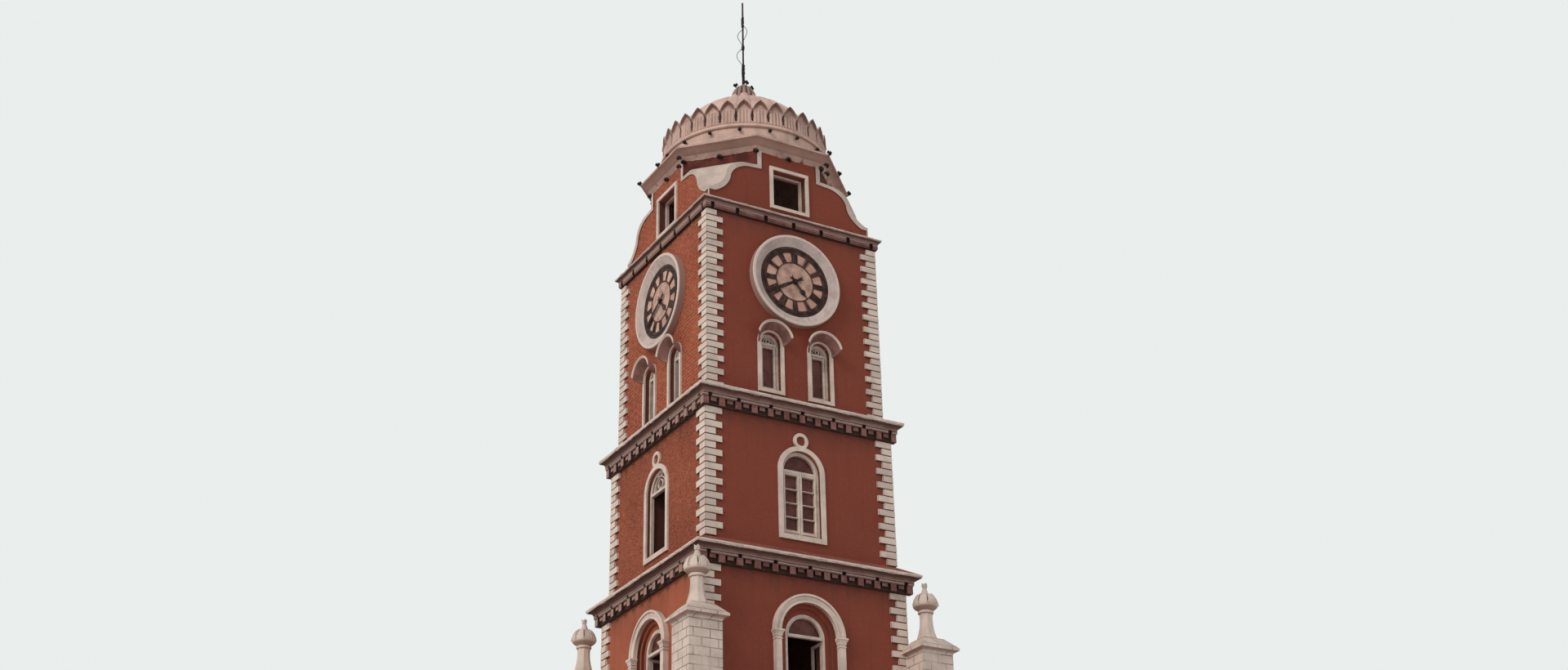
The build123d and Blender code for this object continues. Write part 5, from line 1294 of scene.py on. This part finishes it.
def roof_plaster(name, s):
    """Corner roofs: creamy white copings and hollows, painted darker as shade where they face down, and the
    red wall above them that faces the corner, painted dark as shade under the eave."""
    f = Finish(name)
    fine = f.noise(20.0, 6.0, roughness=0.66)
    blotch = f.noise(2.1, 5.0, roughness=0.62)
    colour = f.blend(f.rise(blotch, 0.36, 0.66), tinted(s.white, 0.92), tinted(s.white, 0.70))
    colour = f.blend(f.times(f.rise(fine, 0.60, 0.74), 0.4), colour, s.bare_and_shade)
    cornerwise = f.times(f.absolute(f.nx), f.absolute(f.ny))
    above = f.rise(f.z, ROOF_HEAD - 0.005, ROOF_HEAD + 0.005)
    wall = f.times(f.rise(cornerwise, 0.35, 0.42), above)
    # Red limewash of the wall above, darkened as painted shade under the eave
    dark = f.blend(f.rise(blotch, 0.4, 0.6), tinted(s.limewash, 0.55), tinted(s.limewash, 0.30))
    colour = f.blend(wall, colour, dark)
    # Painted shade on the undersides
    colour = f.blend(f.times(f.rise(f.nz, -0.3, -0.8), 0.6), colour, tinted(s.bare_and_shade, 0.9))
    return f.done(colour, 0.82, f.relief(fine, 0.003, f.relief(blotch, 0.005)))


def stone_paint(name, s):
    """White painted corner stones: each course a little apart in tone, with dark joints and worn faces."""
    f = Finish(name)
    fine = f.noise(24.0, 6.0, roughness=0.68)
    blotch = f.noise(3.4, 5.0, roughness=0.6)
    course = f.math("FLOOR", f.math("DIVIDE", f.z, 0.155))
    tone = f.noise(3.7, 0.0, f.vector(course, f.times(course, 1.7), f.math("SIGN", f.x)))
    colour = f.blend(f.rise(tone, 0.36, 0.64), tinted(s.white, 1.12), tinted(s.white, 0.90))
    colour = f.blend(f.times(f.rise(blotch, 0.46, 0.70), 0.45), colour, (0.44, 0.31, 0.25))
    colour = f.blend(f.times(f.rise(fine, 0.60, 0.74), 0.45), colour, s.bare_and_shade)
    flat = f.math("MAXIMUM", f.absolute(f.nx), f.absolute(f.ny))
    colour = f.blend(f.times(f.rise(flat, 0.93, 0.80), 0.75), colour, tinted(s.grime_and_shade, 1.5))
    return f.done(colour, 0.80, f.relief(fine, 0.003, f.relief(blotch, 0.004)))


def joint_mortar(name, s):
    """Dark mortar that shows in the joints between the corner stones."""
    f = Finish(name)
    fine = f.noise(30.0, 5.0)
    return f.done(f.blend(fine, tinted(s.grime_and_shade, 0.6), tinted(s.bare_and_shade, 0.6)), 0.95, f.relief(fine, 0.003))


def oil_paint(name, s):
    """Old white oil paint on wood: blotchy, with dark grain, and its undersides painted darker as shade."""
    f = Finish(name)
    grain = f.noise(1.0, 4.0, f.vector(f.times(f.x, 60.0), f.times(f.y, 60.0), f.times(f.z, 7.0)))
    blotch = f.noise(4.5, 5.0, roughness=0.65)
    colour = f.blend(f.rise(blotch, 0.36, 0.66), tinted(s.white, 1.06), tinted(s.white, 0.78))
    colour = f.blend(f.times(f.rise(grain, 0.58, 0.74), 0.45), colour, (0.30, 0.19, 0.145))
    # Painted shade on the undersides
    colour = f.blend(f.times(f.rise(f.nz, -0.4, -0.9), 0.6), colour, s.bare_and_shade)
    return f.done(colour, 0.55, f.relief(grain, 0.0015))


def dusty_glass(name):
    """Dark dusty glass, with the dust in soft patches."""
    f = Finish(name)
    dust = f.noise(2.2, 5.0, roughness=0.6)
    fine = f.noise(40.0, 3.0)
    colour = f.blend(f.rise(dust, 0.35, 0.70), (0.090, 0.018, 0.011), (0.190, 0.066, 0.048))
    f.shader.inputs["Transmission Weight"].default_value = 0.12
    f.shader.inputs["IOR"].default_value = 1.5
    rough = f.plus(0.22, f.times(f.rise(dust, 0.4, 0.7), 0.25))
    return f.done(colour, rough, f.relief(fine, 0.0006), 0.26)


def opal(name):
    """Peach opal behind the dial, each hour's pane of its own tone and darker toward its sides, and dark
    behind the rings."""
    f = Finish(name)
    up = f.minus(f.z, DIAL_HEIGHT)
    face = f.math("GREATER_THAN", f.absolute(f.x), f.absolute(f.y))
    side = f.plus(f.times(face, f.y), f.times(f.minus(1.0, face), f.x))
    radius = f.hypotenuse(side, up)
    turn = f.plus(f.math("DIVIDE", f.math("ARCTAN2", up, side), pi / 6), 0.5)
    tone = f.noise(5.3, 0.0, f.vector(f.math("FLOOR", turn), f.times(f.math("FLOOR", turn), 2.3), face))
    between = f.absolute(f.minus(f.math("FRACT", turn), 0.5))
    dirt = f.noise(5.0, 5.0, roughness=0.65)
    pane = f.blend(f.rise(tone, 0.38, 0.62), (0.68, 0.40, 0.28), (0.50, 0.27, 0.20))
    pane = f.blend(f.times(f.rise(between, 0.27, 0.13), 0.88), pane, (0.10, 0.046, 0.034))
    middle = f.blend(f.rise(dirt, 0.36, 0.62), (0.60, 0.37, 0.27), (0.40, 0.215, 0.165))
    colour = f.blend(f.rise(radius, 0.452, 0.448), pane, middle)
    colour = f.blend(f.rise(radius, 0.690, 0.705), colour, (0.075, 0.036, 0.028))
    colour = f.blend(f.times(f.rise(dirt, 0.52, 0.70), 0.35), colour, (0.24, 0.12, 0.09))
    f.shader.inputs["Coat Weight"].default_value = 0.1
    return f.done(colour, 0.5, f.relief(dirt, 0.0008), 0.3)


def dark_paint(name, colour, worn):
    """Dull dark paint with lighter wear."""
    f = Finish(name)
    fine = f.noise(35.0, 5.0, roughness=0.65)
    blotch = f.noise(6.0, 4.0)
    mixed = f.blend(f.rise(blotch, 0.42, 0.66), colour, worn)
    mixed = f.blend(f.times(f.rise(fine, 0.56, 0.72), 0.5), mixed, tinted(worn, 1.5))
    return f.done(mixed, 0.55, f.relief(fine, 0.001))


def plain_cement(name):
    """Grey-brown cement of the floors, dusty and stained."""
    f = Finish(name)
    fine = f.noise(20.0, 5.0)
    blotch = f.noise(1.2, 4.0)
    return f.done(f.blend(f.rise(blotch, 0.35, 0.65), (0.20, 0.15, 0.12), (0.13, 0.095, 0.075)), 0.9,
                  f.relief(fine, 0.002))


class TOWER_OT_finishes(Operator):
    """Paint, plaster, wood, glass and metal of every part"""
    bl_idname = "tower.finishes"
    bl_label = "Finishes"

    def execute(self, context):
        s = context.scene.tower_paint
        for packed in list(bpy.data.materials):
            bpy.data.materials.remove(packed)
        limewash("red_wall", s)
        weathered_white("white_masonry", s)
        stone_paint("quoin_stone", s)
        weathered_white("pier_masonry", s, 0.97, 0.55, coursed=True)
        lime_plaster("cream_plaster", s, 1.0)
        plain_cement("floor_slab")
        oil_paint("white_joinery", s)
        dusty_glass("glass")
        opal("dial_opal")
        dark_paint("dial_iron", (0.030, 0.013, 0.010), (0.085, 0.040, 0.030))
        dark_paint("hand_paint", (0.022, 0.011, 0.009), (0.060, 0.032, 0.026))
        dark_paint("mast_iron", (0.030, 0.015, 0.012), (0.080, 0.045, 0.036))
        dark_paint("lamp_black", (0.014, 0.009, 0.008), (0.04, 0.026, 0.022))
        grey_slope = (0.45, 0.27, 0.225)
        red_slope = (0.26, 0.085, 0.055)
        storey = LOWER_TOP - GROUND_TOP
        once = 60.0  # more than the tower's height, so that heights aren't taken again
        ground, _, lower, middle, upper = CORNICES
        joint_mortar("mortar", s)
        cornice_plaster("base_cornice_plaster", s, FIRST_HALF, ground, storey, red_slope)
        cornice_plaster("lower_cornice_plaster", s, FIRST_HALF, lower, once, red_slope)
        cornice_plaster("middle_cornice_plaster", s, SECOND_HALF, middle, once, grey_slope)
        cornice_plaster("upper_cornice_plaster", s, CLOCK_HALF, upper, once, grey_slope)
        roof_plaster("roof_plaster", s)
        scooped_plaster("hood_plaster", s)
        bezel_paint("bezel_paint", s)
        weathered_white("pinnacle_white", s, 0.95, 0.6)
        lime_plaster("dome_plaster", s, 1.22, ribbed=True, streaked=0.30)
        lime_plaster("petal_plaster", s, 1.06, petals=True, streaked=0.50)
        lime_plaster("cup_plaster", s, 0.74, streaked=0.40, cup=context.scene.tower_dome.cup_ribs)
        lime_plaster("eave_plaster", s, 1.0, streaked=0.35, under=1.55)
        lime_plaster("drum_plaster", s, 1.20, streaked=0.45)
        # Nodes whose finish is their own and not their slot's
        own = {
            "attic_corner_roofs": "roof_plaster",
            "base_cornices": "base_cornice_plaster",
            "lower_cornice": "lower_cornice_plaster",
            "middle_cornice": "middle_cornice_plaster",
            "upper_cornice": "upper_cornice_plaster",
            "window_hoods": "hood_plaster",
            "clock_bezels": "bezel_paint",
            "pinnacles": "pinnacle_white",
            "eave": "eave_plaster",
            "drum": "drum_plaster",
        }
        for name, node in NODES.items():
            material = MADE[own.get(name, SLOT_OF[name])]
            for place in node.material_slots:
                place.material = material
            if not node.material_slots:
                node.data.materials.append(material)
        return {"FINISHED"}


# ---------------------------------------------------------------- stage

def aim(camera, eye, heading, lift, roll):
    """Turn a camera to a heading, then up, then about its own line of view."""
    ahead = Vector((sin(heading) * cos(lift), cos(heading) * cos(lift), sin(lift)))
    level = Vector((cos(heading), -sin(heading), 0))
    upward = level.cross(ahead)
    right = level * cos(roll) + upward * sin(roll)
    top = upward * cos(roll) - level * sin(roll)
    turn = Matrix((right, top, -ahead)).transposed()
    camera.matrix_world = Matrix.Translation(eye) @ turn.to_4x4()


def soft_key(scene, s):
    """Soft light from the upper left."""
    sun = bpy.data.lights.new("key", "SUN")
    sun.energy = s.key * pi
    sun.angle = radians(25)
    sun.color = (1.0, 0.97, 0.93)
    lamp = bpy.data.objects.new("key", sun)
    scene.collection.objects.link(lamp)
    lamp.matrix_world = Vector((-0.80, -0.28, 0.55)).to_track_quat("Z", "Y").to_matrix().to_4x4()


def pale_sky(scene, s):
    """Even light from all round, which the camera sees as the backdrop's colour."""
    world = bpy.data.worlds.new("sky")
    scene.world = world
    world.use_nodes = True
    tree = world.node_tree
    tree.nodes.clear()
    out = tree.nodes.new("ShaderNodeOutputWorld")
    mix = tree.nodes.new("ShaderNodeMixShader")
    path = tree.nodes.new("ShaderNodeLightPath")
    seen = tree.nodes.new("ShaderNodeBackground")
    seen.inputs["Color"].default_value = (*s.backdrop, 1)
    seen.inputs["Strength"].default_value = 1.0
    light = tree.nodes.new("ShaderNodeBackground")
    light.inputs["Color"].default_value = (0.93, 0.97, 1.0, 1)
    light.inputs["Strength"].default_value = s.sky
    tree.links.new(path.outputs["Is Camera Ray"], mix.inputs["Fac"])
    tree.links.new(light.outputs[0], mix.inputs[1])
    tree.links.new(seen.outputs[0], mix.inputs[2])
    tree.links.new(mix.outputs[0], out.inputs[0])


def pale_floor(scene):
    """Wide pale floor at ground level."""
    half = 150.0
    plane = bpy.data.meshes.new("floor")
    corners = [(-half, -half, 0), (half, -half, 0), (half, half, 0), (-half, half, 0)]
    plane.from_pydata(corners, [], [(0, 1, 2, 3)])
    floor = bpy.data.objects.new("floor", plane)
    scene.collection.objects.link(floor)
    pale = bpy.data.materials.new("pale_floor")
    pale.use_nodes = True
    pale.node_tree.nodes["Principled BSDF"].inputs["Base Color"].default_value = (0.7, 0.7, 0.69, 1)
    plane.materials.append(pale)


class TOWER_OT_stage(Operator):
    """Camera, soft light, pale floor and backdrop"""
    bl_idname = "tower.stage"
    bl_label = "Stage"

    def execute(self, context):
        s = context.scene.tower_stage
        scene = context.scene
        lens = bpy.data.cameras.new("view")
        lens.sensor_width = 36
        lens.lens = s.lens
        lens.clip_end = 400
        camera = bpy.data.objects.new("view", lens)
        scene.collection.objects.link(camera)
        aim(camera, Vector(s.eye), s.heading, s.lift, s.roll)
        scene.camera = camera
        scene.view_settings.view_transform = "Standard"
        soft_key(scene, s)
        pale_sky(scene, s)
        pale_floor(scene)
        return {"FINISHED"}


class TOWER_PT_pieces(Panel):
    """Lists the tower's pieces in the order in which they are made"""
    bl_idname = "TOWER_PT_pieces"
    bl_label = "Clock tower"
    bl_space_type = "VIEW_3D"
    bl_region_type = "UI"
    bl_category = "Clock tower"

    def draw(self, context):
        layout = self.layout
        for operator, settings in PIECES:
            layout.operator(operator.bl_idname)
            if settings:
                group = getattr(context.scene, settings)
                for name in group.__annotations__:
                    layout.prop(group, name)


PIECES = (
    (TOWER_OT_finishes, "tower_paint"),
    (TOWER_OT_stones, "tower_stones"),
    (TOWER_OT_noses, "tower_noses"),
    (TOWER_OT_joinery, "tower_joinery"),
    (TOWER_OT_rims, None),
    (TOWER_OT_buds, "tower_buds"),
    (TOWER_OT_dome, "tower_dome"),
    (TOWER_OT_mast, "tower_mast"),
    (TOWER_OT_lamps, "tower_lamps"),
    (TOWER_OT_stage, "tower_stage"),
)
SETTINGS = {
    "tower_paint": PaintSettings,
    "tower_stones": StoneSettings,
    "tower_noses": LipSettings,
    "tower_joinery": JoinerySettings,
    "tower_buds": BudSettings,
    "tower_dome": DomeSettings,
    "tower_mast": MastSettings,
    "tower_lamps": LampSettings,
    "tower_stage": StageSettings,
}


def register():
    for name, group in SETTINGS.items():
        bpy.utils.register_class(group)
        setattr(bpy.types.Scene, name, PointerProperty(type=group))
    for operator, _ in PIECES:
        bpy.utils.register_class(operator)
    bpy.utils.register_class(TOWER_PT_pieces)


def unregister():
    bpy.utils.unregister_class(TOWER_PT_pieces)
    for operator, _ in reversed(PIECES):
        bpy.utils.unregister_class(operator)
    for name, group in reversed(SETTINGS.items()):
        delattr(bpy.types.Scene, name)
        bpy.utils.unregister_class(group)


def main():
    register()
    bpy.ops.tower.finishes()
    bpy.ops.tower.stones()
    bpy.ops.tower.noses()
    bpy.ops.tower.joinery()
    bpy.ops.tower.rims()
    bpy.ops.tower.buds()
    bpy.ops.tower.dome()
    bpy.ops.tower.mast()
    bpy.ops.tower.lamps()
    bpy.ops.tower.stage()


if __name__ == "__main__":
    main()
